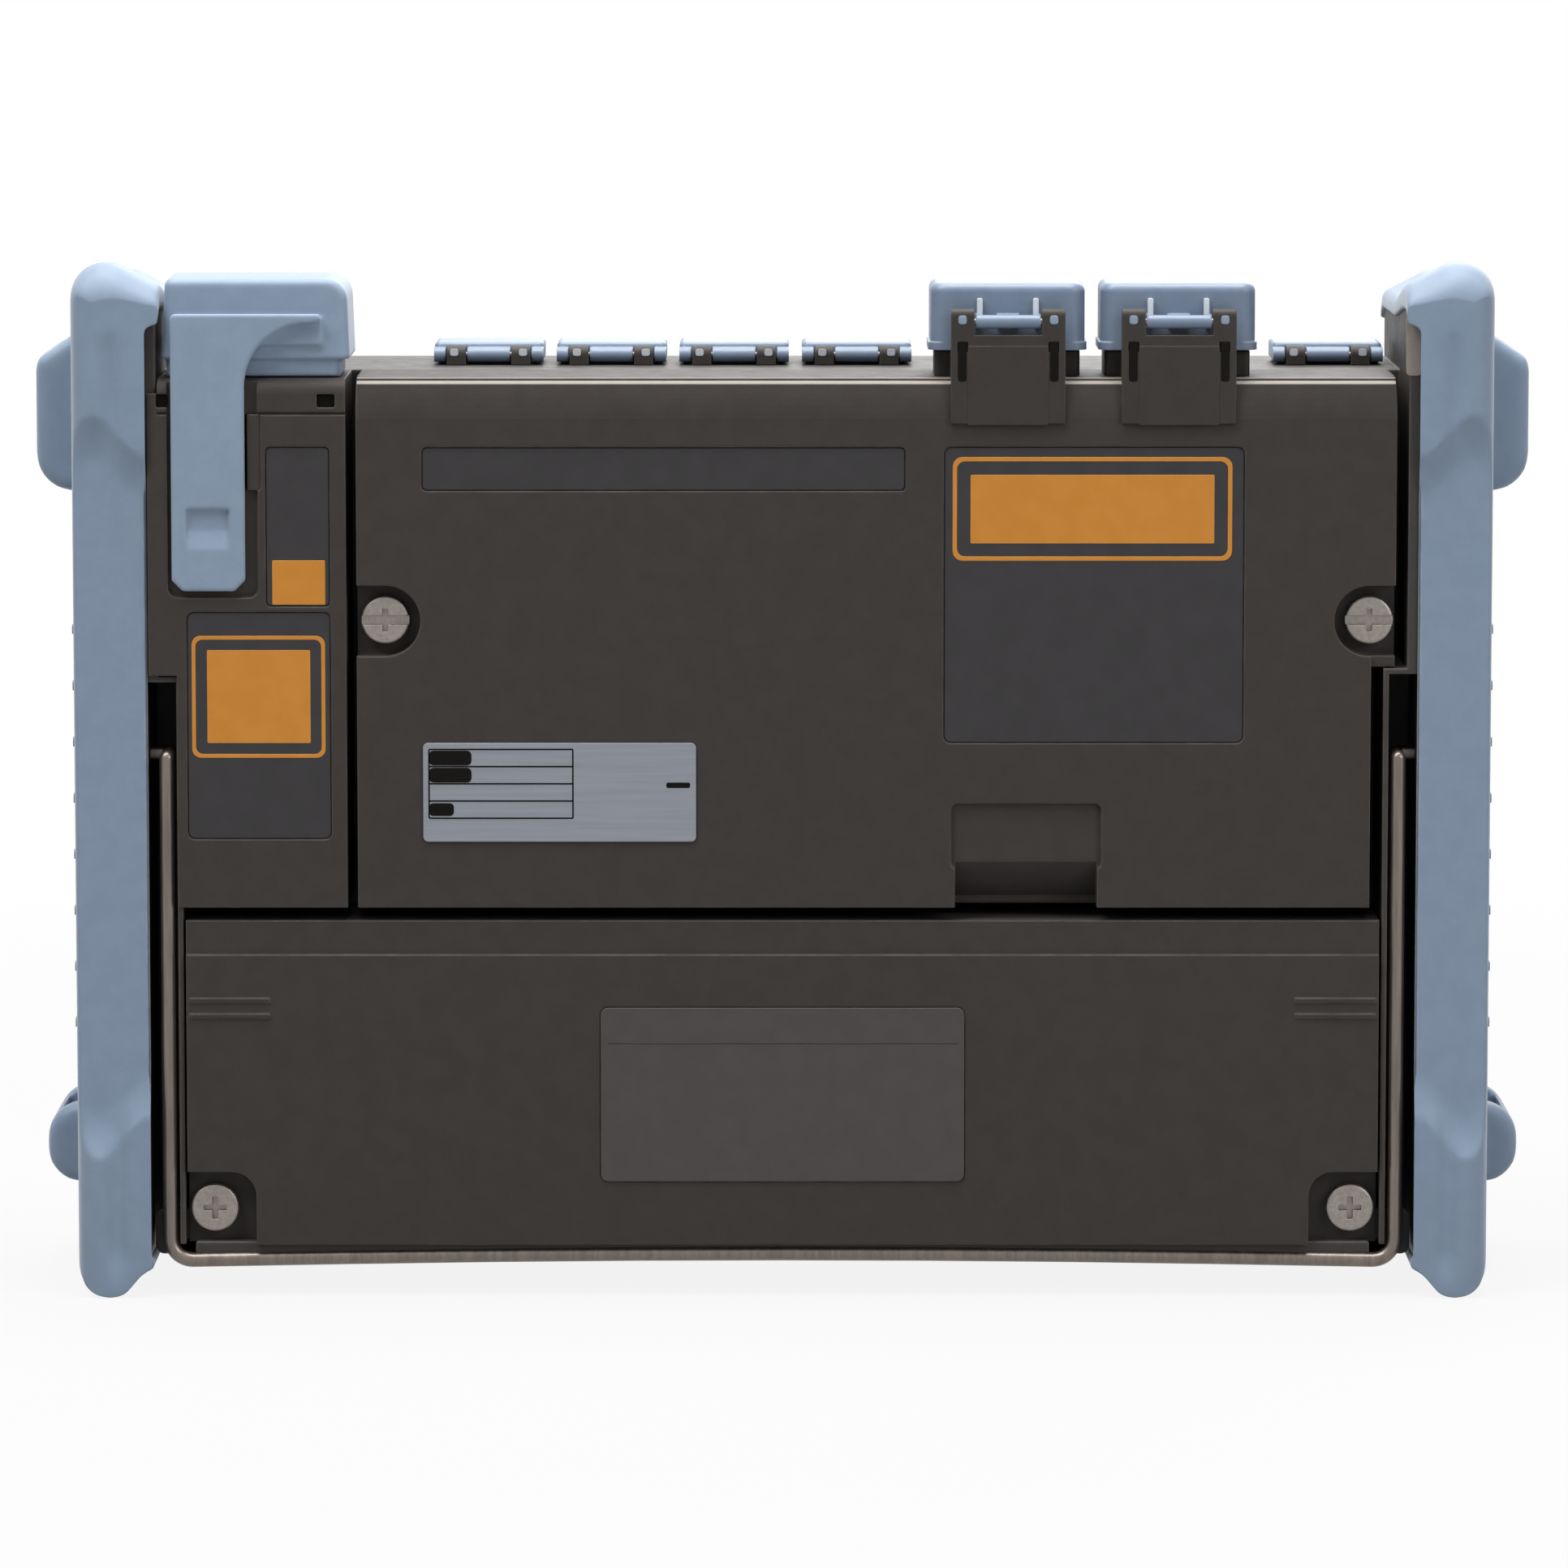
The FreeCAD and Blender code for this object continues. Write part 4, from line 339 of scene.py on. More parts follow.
# tones of the body, of its slow unevenness and of rubbed edges, amount of dust, roughness low and high,
# scale and depth of the grain, width of a rubbed edge, specular level, sheen
finishes = {
    "casePlastic": (
        (56, 52, 50), (59, 55, 53), (90, 85, 81), 0.015, (0.5, 0.6), 1.0, 0.00004, 0.0006, 0.13, 0.0,
    ),
    "mainframePlastic": (
        (55, 52, 50), (58, 55, 53), (98, 91, 85), 0.04, (0.46, 0.56), 1.0, 0.00004, 0.0008, 0.2, 0.0,
    ),
    "bumperRubber": (
        (114, 131, 151), (118, 135, 155), (146, 161, 178), 0.04, (0.5, 0.6), 0.7, 0.00003, 0.0005, 0.4, 0.3,
    ),
    "capRubber": (
        (121, 138, 158), (125, 142, 162), (164, 181, 201), 0.04, (0.48, 0.58), 0.8, 0.00003, 0.0006, 0.36, 0.3,
    ),
    "lidPlastic": (
        (103, 118, 138), (107, 122, 142), (172, 187, 204), 0.05, (0.34, 0.44), 1.1, 0.00002, 0.0005, 0.45, 0.0,
    ),
    "fittingPlastic": (
        (48, 45, 42), (52, 48, 45), (90, 85, 80), 0.03, (0.46, 0.56), 1.1, 0.00003, 0.0004, 0.2, 0.0,
    ),
    "blackPlastic": (
        (32, 31, 30), (36, 35, 34), (76, 74, 72), 0.03, (0.35, 0.5), 1.2, 0.00003, 0.0004, 0.4, 0.0,
    ),
    "keySilicone": (
        (84, 90, 98), (88, 94, 102), (116, 122, 130), 0.04, (0.55, 0.66), 0.9, 0.00003, 0.0006, 0.3, 0.05,
    ),
    "startSilicone": (
        (112, 131, 154), (117, 136, 159), (150, 166, 186), 0.04, (0.55, 0.66), 0.9, 0.00003, 0.0006, 0.3, 0.05,
    ),
    "coverFilm": (
        (64, 60, 59), (67, 63, 62), (94, 90, 87), 0.03, (0.42, 0.5), 1.6, 0.00001, 0.0003, 0.3, 0.0,
    ),
    "panelFilm": (
        (42, 40, 42), (45, 43, 45), (78, 76, 80), 0.02, (0.38, 0.46), 1.6, 0.00001, 0.0002, 0.32, 0.0,
    ),
    "orangeInk": (
        (186, 122, 42), (190, 126, 47), (208, 152, 84), 0.02, (0.42, 0.52), 1.6, 0.00001, 0.0002, 0.3, 0.0,
    ),
    "darkInk": (
        (34, 34, 37), (39, 39, 43), (64, 64, 68), 0.0, (0.45, 0.55), 1.6, 0.00001, 0.0002, 0.3, 0.0,
    ),
    "clipPlastic": (
        (202, 209, 217), (206, 213, 221), (224, 229, 234), 0.02, (0.4, 0.5), 1.6, 0.00001, 0.0003, 0.35, 0.0,
    ),
    # a pale beige that stands in for highlights: painted on the deck edge's rounding and on the right tower's inner
    # side
    "paleHighlightBeige": (
        (132, 124, 117), (138, 130, 123), (170, 163, 156), 0.02, (0.45, 0.55), 1.4, 0.00002, 0.0004, 0.25, 0.0,
    ),
    # black for the rating table's print, and painted shade in the brackets' slots and the band's pockets
    "blackPrintAndShade": (
        (19, 18, 17), (22, 21, 20), (30, 29, 28), 0.0, (0.7, 0.8), 1.6, 0.00001, 0.0002, 0.05, 0.0,
    ),
    # pale print for the key marks, and painted highlights in the flap posts' windows
    "paleInkAndGlint": (
        (176, 182, 190), (182, 188, 196), (196, 201, 208), 0.0, (0.45, 0.55), 1.6, 0.00001, 0.0002, 0.3, 0.0,
    ),
    "boardMask": (
        (24, 82, 52), (30, 92, 60), (80, 120, 90), 0.02, (0.3, 0.42), 2.0, 0.00001, 0.0003, 0.5, 0.0,
    ),
    "batteryWrap": (
        (50, 52, 56), (56, 58, 63), (90, 92, 96), 0.02, (0.35, 0.5), 1.5, 0.00002, 0.0004, 0.45, 0.0,
    ),
    "displayBack": (
        (48, 50, 54), (54, 56, 61), (90, 92, 96), 0.0, (0.35, 0.5), 1.5, 0.00002, 0.0004, 0.45, 0.0,
    ),
}


def makeFinish(name, look):
    material, tree, shader = newMaterial(name)
    grain = addGroup(tree, sparkGrain, Scale=look["grain"], Unevenness=1.0)
    rub = addGroup(tree, edgeRub, Width=look["edge"], Patchiness=0.6)
    film = addGroup(tree, dustFilm, Amount=look["dust"])
    mottle = addRange(tree, grain["Mottle"], 0.35, 0.65, 0.0, 1.0)
    body = blendColour(tree, mottle, tone(*look["base"]), tone(*look["drift"]))
    worn = blendColour(tree, rub["Mask"], body, tone(*look["rubbed"]))
    rough = addRange(tree, grain["Mottle"], 0.3, 0.7, *look["rough"])
    bump = addNode(
        tree, "ShaderNodeBump", Strength=0.5, Distance=look["grainDepth"], Height=grain["Height"],
        Normal=rub["Rounded Normal"],
    )
    plugAll(
        tree, shader, Base_Color=blendColour(tree, film["Mask"], worn, dustTone),
        Roughness=addMath(tree, "MULTIPLY_ADD", rub["Mask"], -0.08, rough), Normal=bump.outputs[0],
        Specular_IOR_Level=look["specular"], Sheen_Weight=look["sheen"], Sheen_Roughness=0.5,
    )
    return material


metals = {
    # base colour, lighter tone, roughness low and high, metal share, stretch of the drawn lines along X, Y, Z
    "drawnWire": (tone(106, 98, 92), tone(122, 113, 106), (0.28, 0.38), 0.8, (900.0, 900.0, 60.0)),
    "screwSteel": (tone(131, 124, 119), tone(149, 142, 136), (0.32, 0.44), 0.75, (1400.0, 1400.0, 1400.0)),
    "pressedPlate": (tone(158, 159, 161), tone(176, 177, 179), (0.3, 0.45), 0.9, (60.0, 900.0, 900.0)),
    "ratingFoil": (tone(128, 132, 140), tone(136, 140, 148), (0.4, 0.5), 0.25, (40.0, 900.0, 1300.0)),
    "contactGold": (tone(196, 158, 84), tone(214, 178, 106), (0.22, 0.34), 0.95, (500.0, 500.0, 2000.0)),
}
turnedRings = {"pitch": 14000.0, "share": 0.12}


def turnedLines(tree, place, centres, lines):
    # turned rings round each screw's own axis, over the other lines
    parts = addNode(tree, "ShaderNodeSeparateXYZ", Vector=place).outputs
    nearest = None
    for centreX, centreZ in centres:
        offX = addMath(tree, "SUBTRACT", parts["X"], centreX)
        offZ = addMath(tree, "SUBTRACT", parts["Z"], centreZ)
        square = addMath(tree, "MULTIPLY_ADD", offX, offX, addMath(tree, "MULTIPLY", offZ, offZ))
        distance = addMath(tree, "SQRT", square)
        nearest = distance if nearest is None else addMath(tree, "MINIMUM", nearest, distance)
    wave = addMath(tree, "SINE", addMath(tree, "MULTIPLY", nearest, turnedRings["pitch"]))
    return addMath(tree, "MULTIPLY_ADD", wave, turnedRings["share"], lines)


def makeMetal(name, look, ringCentres=()):
    base, light, rough, metal, stretch = look
    material, tree, shader = newMaterial(name)
    place = objectPlace(tree)
    mapping = addNode(tree, "ShaderNodeMapping", Vector=place, Scale=stretch)
    lines = addNoise(tree, mapping.outputs[0], 1.0, 3.0, 0.6)
    if ringCentres:
        lines = turnedLines(tree, place, ringCentres, lines)
    rub = addGroup(tree, edgeRub, Width=0.0003, Patchiness=0.3)
    body = blendColour(tree, addRange(tree, lines, 0.3, 0.7, 0.0, 1.0), base, light)
    bump = addNode(
        tree, "ShaderNodeBump", Strength=0.4, Distance=0.00002, Height=lines, Normal=rub["Rounded Normal"]
    )
    plugAll(
        tree, shader, Metallic=metal, Base_Color=blendColour(tree, rub["Mask"], body, light),
        Roughness=addRange(tree, lines, 0.3, 0.7, *rough), Normal=bump.outputs[0],
    )
    return material


screen = {
    "border": 0.0125,
    "soft": 0.0003,
    "borderTone": tone(12, 12, 13),
    "picture": (tone(27, 29, 33), tone(31, 33, 37)),
    "rough": (0.06, 0.13),
}


def makeScreenGlass():
    # dark glass with a printed black border and the switched-off picture area behind it
    low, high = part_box("touch_glass")
    material, tree, shader = newMaterial("screenGlass")
    place = objectPlace(tree)
    parts = addNode(tree, "ShaderNodeSeparateXYZ", Vector=place).outputs
    within = []
    for axis, lowEnd, highEnd in (("X", low.x, high.x), ("Z", low.z, high.z)):
        centre, half = (lowEnd + highEnd) / 2, (highEnd - lowEnd) / 2 - screen["border"]
        off = addMath(tree, "ABSOLUTE", addMath(tree, "SUBTRACT", parts[axis], centre))
        within.append(addRange(tree, off, half, half + screen["soft"], 1.0, 0.0))
    smears = addRange(tree, addNoise(tree, place, 45.0, 5.0, 0.6), 0.4, 0.7, 0.0, 1.0)
    picture = blendColour(tree, smears, *screen["picture"])
    inside = addMath(tree, "MULTIPLY", *within)
    plugAll(
        tree, shader, IOR=1.52, Coat_Weight=0.6, Coat_Roughness=0.03,
        Base_Color=blendColour(tree, inside, screen["borderTone"], picture),
        Roughness=addRange(tree, smears, 0.0, 1.0, *screen["rough"]),
    )
    return material


finish = {name: makeFinish(name, dict(zip(finishParts, look))) for name, look in finishes.items()}
screwCentres = []
for label in ("unit_screws", "cover_screws"):
    low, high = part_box(label)
    headRadius = (high.z - low.z) / 2
    screwCentres += [(low.x + headRadius, low.z + headRadius), (high.x - headRadius, low.z + headRadius)]
for name, look in metals.items():
    finish[name] = makeMetal(name, look, screwCentres if name == "screwSteel" else ())
finish["screenGlass"] = makeScreenGlass()
print("finishes made:", len(finish))

nodeFinish = {
    "casePlastic": ["otdr_unit_case", "module_case", "battery_cover"],
    "mainframePlastic": ["rear_case", "front_case"],
    "lidPlastic": ["port_lid_1", "port_lid_2", "flap_1", "flap_2", "flap_3", "flap_4", "flap_5"],
    "fittingPlastic": ["port_mounts", "flap_posts", "knob"],
    "blackPlastic": ["encoder", "deck_sockets", "port_adapters", "fibre_reel", "module_board"],
    "boardMask": ["key_board", "main_board", "unit_board"],
    "screenGlass": ["touch_glass"],
    "displayBack": ["lcd_module"],
    "pressedPlate": ["chassis_plate", "board_spacers", "board_posts", "optical_block"],
    "drawnWire": ["stand"],
    "coverFilm": ["cover_plate"],
    "ratingFoil": ["rating_plate"],
    "screwSteel": ["unit_screws", "cover_screws", "port_lid_pins", "flap_pins", "meter_adapter"],
    "batteryWrap": ["battery_pack"],
    "keySilicone": [name for name in nodes if name.startswith("key_") and name != "key_board"],
    "bumperRubber": ["bumper_left", "bumper_right"],
    "capRubber": ["meter_cap", "meter_strap"],
}


def paint(piece, material):
    piece.data.materials.clear()
    piece.data.materials.append(finish[material])


for name, labels in nodeFinish.items():
    for label in labels:
        paint(nodes[label], name)


# helpers for new pieces

def newObject(name, mesh):
    piece = bpy.data.objects.new(name, mesh)
    scene.collection.objects.link(piece)
    return piece


def newPiece(name, mesh, material, body):
    piece = newObject(name, mesh)
    paint(piece, material)
    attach(piece, body)


def finishMesh(name, shape):
    # a mesh with its faces turned outwards
    bmesh.ops.recalc_face_normals(shape, faces=shape.faces)
    mesh = bpy.data.meshes.new(name)
    shape.to_mesh(mesh)
    shape.free()
    return mesh


def addWall(shape, first, second):
    # faces between two closed rings of points
    for i in range(len(first)):
        j = (i + 1) % len(first)
        shape.faces.new((first[i], first[j], second[j], second[i]))


def applyModifiers(piece):
    # the finished shape as a plain mesh, without the modifiers
    graph = bpy.context.evaluated_depsgraph_get()
    mesh = bpy.data.meshes.new_from_object(piece.evaluated_get(graph))
    piece.modifiers.clear()
    old = piece.data
    piece.data = mesh
    mesh.name = old.name
    bpy.data.meshes.remove(old)


def softCopy(name, labels, voxel, rounds, extra=(), before=None):
    # one smooth skin over copies of moulded rubber solids
    joined = bmesh.new()
    for label in labels:
        joined.from_mesh(nodes[label].data)
    for low, high in extra:
        addBlock(joined, low, high)
    bmesh.ops.remove_doubles(joined, verts=joined.verts, dist=1e-6)
    if before:
        before(joined)
    mesh = bpy.data.meshes.new(name)
    joined.to_mesh(mesh)
    joined.free()
    piece = newObject(name, mesh)
    remesh = piece.modifiers.new("remesh", "REMESH")
    remesh.mode = "VOXEL"
    remesh.voxel_size = voxel
    remesh.use_smooth_shade = True
    smooth = piece.modifiers.new("smooth", "SMOOTH")
    smooth.factor = 0.5
    smooth.iterations = rounds
    applyModifiers(piece)
    return piece


def addBlock(target, low, high):
    made = bmesh.ops.create_cube(target, size=1.0)["verts"]
    low, high = Vector(low), Vector(high)
    for vert in made:
        vert.co = Vector([(low[i] + high[i]) / 2 + vert.co[i] * (high[i] - low[i]) for i in range(3)])


def roundedLoop(low, high, radius, steps=6):
    # points of a rounded rectangle in X and Z, with so many steps at each corner
    points = []
    for centreX, centreZ, start in (
        (high[0] - radius, high[1] - radius, 0), (low[0] + radius, high[1] - radius, 90),
        (low[0] + radius, low[1] + radius, 180), (high[0] - radius, low[1] + radius, 270),
    ):
        for step in range(steps + 1):
            angle = math.radians(start + 90 * step / steps)
            points.append((centreX + radius * math.cos(angle), centreZ + radius * math.sin(angle)))
    return points


def sticker(name, material, outer, back, thick, inner=None, body="mainframe"):
    # a thin film between y = back - thick and y = back; with an inner loop it is a frame
    film = bmesh.new()
    rings = [
        [film.verts.new((x, y, z)) for x, z in loop]
        for loop in ([outer] if inner is None else [outer, inner]) for y in (back, back - thick)
    ]
    addWall(film, rings[0], rings[1])
    if inner is None:
        film.faces.new(rings[0])
        film.faces.new(rings[1])
    else:
        addWall(film, rings[2], rings[3])
        addWall(film, rings[0], rings[2])
        addWall(film, rings[1], rings[3])
    newPiece(name, finishMesh(name, film), material, body)


# bumpers

bumperShape = {
    # millimetres; "out" is measured from the part's middle to each side, heights from the floor
    "voxel": 0.85,
    "rounds": 5,
    "cutFace": 37.8,  # face of the solid's waist, front and back
    "cutNear": 0.05,
    "halfDepth": 40,
    "face": 39.9,  # face of the corner blocks at their crest
    "bow": 0.0085,  # how fast that face falls back towards the case
    "crest": 139.0,  # out to the crest of the corner blocks
    "inner": 128.6,
    "outer": 143.6,
    "innerReach": 4,  # how far past those two the shaping still works
    "outerReach": 0.4,
    "roundOver": 5.0,  # radius between the faces and the outer side
    "roundBite": 0.5,  # how much of it lies inside the crest
    "near": (36.4, 1.2),  # depth where a face begins, and the length over which it takes the shape
    "waistDeep": 2.9,
    "ramp": 9.0,  # length over which the waist runs out into the blocks
    "lowStep": (37.0, 28.5, 35.0),  # heights of the lower blocks' edge at inner, crest, outer
    "highStep": (171.5, 179.5, 174.0),
    "valley": (135.2, 1.4, 1.9),  # out, depth and width of the soft valley down each block
    "valleyTop": (5, 24),  # start below the top, and the length over which it deepens
    "valleyFoot": (1, 9),
    "crown": 8.5,  # radius of the upper edges
    "crownEnd": 0.995,  # share of the radius where the rounding stops, just short of upright
    "crownBelow": (20, 17),  # start below the top, and the length over which it comes in
    "fall": 4.6,  # how far the top falls towards the screen side
    "fallOver": (30, 34),  # start behind the middle, and the length of the fall
    "lugDrop": (4.5, 2.0),  # lower and upper lugs
    "lugEase": 1.5,
}


def easeIn(value):
    # 0 to 1, flat at both ends
    value = min(max(value, 0.0), 1.0)
    return value * value * (3 - 2 * value)


def runOut(value, power=1.7):
    # 0 to 1, steep at first, so that a crease stays at the start
    return 1 - (1 - min(max(value, 0.0), 1.0)) ** power


def blockFace(out, look):
    # distance of a corner block's face from the middle of the part's depth
    if out < look["crest"]:
        return look["face"] - look["bow"] * (look["crest"] - out) ** 2
    past = min(out - look["crest"] + look["roundBite"], look["roundOver"])
    return look["face"] - look["roundOver"] + math.sqrt(look["roundOver"] ** 2 - past ** 2)


def stepHeight(out, look, heights):
    atInner, atCrest, atOuter = heights
    if out < look["crest"]:
        return atCrest + (atInner - atCrest) * easeIn((look["crest"] - out) / (look["crest"] - look["inner"]))
    share = (out - look["crest"]) / (look["outer"] - look["crest"])
    return atCrest + (atOuter - atCrest) * min(share, 1.0) ** 2


def fillWaist(shape, look):
    # the solid's stepped waist is brought level with its blocks before the skin is made
    for vert in shape.verts:
        if abs(abs(vert.co.y) - mm(look["cutFace"])) < mm(look["cutNear"]):
            level = mm(blockFace(abs(vert.co.x) * 1000, look))
            vert.co.y = math.copysign(level, vert.co.y)


def faceDepth(out, z, look, top):
    # depth of the shaped face: corner blocks with a valley, and the sunk waist between them
    face = blockFace(out, look)
    valleyOut, valleyDeep, valleyWide = look["valley"]
    (topStart, topOver), (footStart, footOver) = look["valleyTop"], look["valleyFoot"]
    alongBlock = easeIn((top - topStart - z) / topOver) * easeIn((z - footStart) / footOver)
    valley = valleyDeep * math.exp(-((out - valleyOut) / valleyWide) ** 2) * alongBlock
    waist = runOut((z - stepHeight(out, look, look["lowStep"])) / look["ramp"])
    waist *= runOut((stepHeight(out, look, look["highStep"]) - z) / look["ramp"])
    return face - max(face - (look["face"] - look["waistDeep"]), 0.0) * waist - valley * (1 - waist)


def shapeBumper(piece, look, top):
    nearFrom, nearOver = look["near"]
    crown, (crownBelow, crownOver), (fallFrom, fallOver) = look["crown"], look["crownBelow"], look["fallOver"]
    for vert in piece.data.vertices:
        x, y, z = [value * 1000 for value in vert.co]
        out, deep = abs(x), abs(y)
        if look["inner"] - look["innerReach"] < out < look["outer"] + look["outerReach"]:
            deep += easeIn((deep - nearFrom) / nearOver) * (faceDepth(out, z, look, top) - deep)
            # upper edges rounded over, and the top lower on the screen side
            past = min(max(deep - (look["halfDepth"] - crown), 0.0), crown * look["crownEnd"])
            drop = crown - math.sqrt(crown ** 2 - past ** 2)
            drop += look["fall"] * easeIn((y + fallFrom) / fallOver)
            z -= drop * easeIn((z - (top - crownBelow)) / crownOver)
        elif out > look["outer"]:
            # belt lugs hang a little lower than their solids
            side = easeIn((out - look["outer"]) / look["lugEase"])
            z -= side * (look["lugDrop"][0] if z < top / 2 else look["lugDrop"][1])
        vert.co = mm(x, math.copysign(deep, y), z)


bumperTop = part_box("bumper_left")[1].z * 1000
for side in ("left", "right"):
    label = f"bumper_{side}"
    piece = softCopy(
        f"{label}_skin", [label], mm(bumperShape["voxel"]), bumperShape["rounds"],
        before=lambda shape: fillWaist(shape, bumperShape),
    )
    shapeBumper(piece, bumperShape, bumperTop)
    paint(piece, "bumperRubber")
    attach(piece, "mainframe")
    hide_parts(label)
print("bumpers made")


# rubber cap and its strap

capShape = {"voxel": mm(0.38), "rounds": 2, "bendHalf": mm(2.4), "strapThick": mm(2.0), "overlap": mm(1.5)}
strapLow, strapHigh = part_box("meter_strap")
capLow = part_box("meter_cap")[0]
bridge = (
    (strapLow.x, strapLow.y, strapHigh.z - capShape["overlap"]),
    (strapHigh.x, strapLow.y + capShape["strapThick"], capLow.z + capShape["overlap"]),
)
cap = softCopy(
    "meter_cap_skin", ["meter_cap", "meter_strap"], capShape["voxel"], capShape["rounds"], extra=[bridge],
)
paint(cap, "capRubber")
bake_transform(cap)
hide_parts("meter_cap", "meter_strap")
print("rubber cap made")


# rubber keys

keyShape = {"voxel": mm(0.45), "rounds": 5, "pale": ("key_start", "key_test")}
for label in nodeFinish["keySilicone"]:
    piece = softCopy(f"{label}_skin", [label], keyShape["voxel"], keyShape["rounds"])
    paint(piece, "startSilicone" if label in keyShape["pale"] else "keySilicone")
    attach(piece, label)
    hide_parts(label)
print("rubber keys made:", len(nodeFinish["keySilicone"]))


# bare films in the sunk panels, with plain orange fields

unitLow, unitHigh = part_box("otdr_unit_case")
moduleLow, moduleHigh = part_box("module_case")
films = {
    "sink": mm(0.5),  # depth of the sunk panels
    "gap": mm(0.25),  # film's edge to the panel's edge
    "thick": mm(0.2),
    "ink": mm(0.06),
}
nameLeft, nameBottom = unitLow.x + mm(13.2), unitHigh.z - mm(22.7)
labelRight, labelTop = unitHigh.x - mm(30.6), unitHigh.z - mm(13.7)
labelLeft = labelRight - mm(60.7)
upperRight, upperBottom = moduleHigh.x - mm(3.2), strapLow.z - mm(3.2)
lowerLeft, lowerTop = strapLow.x + mm(2.8), strapLow.z - mm(4.2)
# name: left, right, bottom, top, corner radius
panels = {
    "name_film": (nameLeft, nameLeft + mm(97.6), nameBottom, nameBottom + mm(8.9), mm(0.9)),
    "label_film": (labelLeft, labelRight, labelTop - mm(60.1), labelTop, mm(1.3)),
    "module_upper_film": (strapHigh.x + mm(4.1), upperRight, upperBottom, labelTop, mm(0.9)),
    "module_lower_film": (lowerLeft, moduleHigh.x - mm(3.1), moduleLow.z + mm(13.9), lowerTop, mm(1.3)),
}
# name: the same, and the line's width where it is a frame
inks = {
    "label_frame": (
        labelLeft + mm(1.8), labelRight - mm(2.5), labelTop - mm(23.1), labelTop - mm(2.1), mm(2), mm(0.9),
    ),
    "label_field": (labelLeft + mm(5.4), labelRight - mm(6.1), labelTop - mm(19.6), labelTop - mm(5.7), mm(0.3)),
    "module_square": (
        upperRight - mm(11.7), upperRight - mm(1.0), upperBottom + mm(0.4), upperBottom + mm(9.4), mm(0.2),
    ),
    "module_frame": (
        lowerLeft + mm(1.0), upperRight - mm(1.1), lowerTop - mm(29.7), lowerTop - mm(4.9), mm(1.8), mm(0.8),
    ),
    "module_field": (lowerLeft + mm(4.1), upperRight - mm(4.1), lowerTop - mm(26.7), lowerTop - mm(7.8), mm(0.3)),
}
for name, (left, right, bottom, top, radius) in panels.items():
    gap = films["gap"]
    outer = roundedLoop((left + gap, bottom + gap), (right - gap, top - gap), radius)
    sticker(name, "panelFilm", outer, unitLow.y + films["sink"], films["thick"])
filmFace = unitLow.y + films["sink"] - films["thick"]
for name, (left, right, bottom, top, radius, *line) in inks.items():
    outer, inner = roundedLoop((left, bottom), (right, top), radius), None
    if line:
        wide = line[0]
        inner = roundedLoop((left + wide, bottom + wide), (right - wide, top - wide), radius - wide / 2)
    sticker(name, "orangeInk", outer, filmFace, films["ink"], inner)
print("films and orange fields made")


# rules for things that repeat

barRound = 0.3  # corner radius of a bar as a share of its smaller side
upright = (math.radians(90), 0.0, 0.0)


def newRule(name, inputs):
    # inputs are name, kind and default
    tree = bpy.data.node_groups.new(name, "GeometryNodeTree")
    tree.interface.new_socket(name="Geometry", in_out="OUTPUT", socket_type="NodeSocketGeometry")
    for label, (kind, value) in inputs.items():
        socket = tree.interface.new_socket(name=label, in_out="INPUT", socket_type=f"NodeSocket{kind}")
        socket.default_value = value
    return tree, tree.nodes.new("NodeGroupInput").outputs, tree.nodes.new("NodeGroupOutput").inputs


def roundedBar(tree, size):
    # a bar with broken edges, centred on its own middle; size is a vector socket
    side = addNode(tree, "ShaderNodeSeparateXYZ", Vector=size).outputs
    outline = addNode(tree, "GeometryNodeCurvePrimitiveQuadrilateral", Width=side["X"], Height=side["Z"])
    radius = addMath(tree, "MULTIPLY", addMath(tree, "MINIMUM", side["X"], side["Z"]), barRound)
    corners = addNode(
        tree, "GeometryNodeFilletCurve", {"mode": "POLY"}, Curve=outline.outputs["Curve"], Radius=radius, Count=3
    )
    face = addNode(tree, "GeometryNodeFillCurve", {"mode": "NGONS"}, Curve=corners.outputs[0]).outputs["Mesh"]
    body = addNode(tree, "GeometryNodeExtrudeMesh", Mesh=face, Offset_Scale=side["Y"])
    back = addNode(tree, "GeometryNodeFlipFaces", Mesh=face)
    both = addNode(tree, "GeometryNodeJoinGeometry")
    for part in (body, back):
        tree.links.new(part.outputs["Mesh"], both.inputs[0])
    return addNode(tree, "GeometryNodeMergeByDistance", Geometry=both.outputs[0], Distance=1e-6).outputs[0]


def finishRule(tree, shape, start, turn, material, result):
    moved = addNode(tree, "GeometryNodeTransform", Geometry=shape, Translation=start, Rotation=turn)
    whole = addNode(tree, "GeometryNodeRealizeInstances", Geometry=moved.outputs[0])
    coated = addNode(tree, "GeometryNodeSetMaterial", Geometry=whole.outputs[0], Material=finish[material])
    tree.links.new(coated.outputs[0], result[0])
    return tree


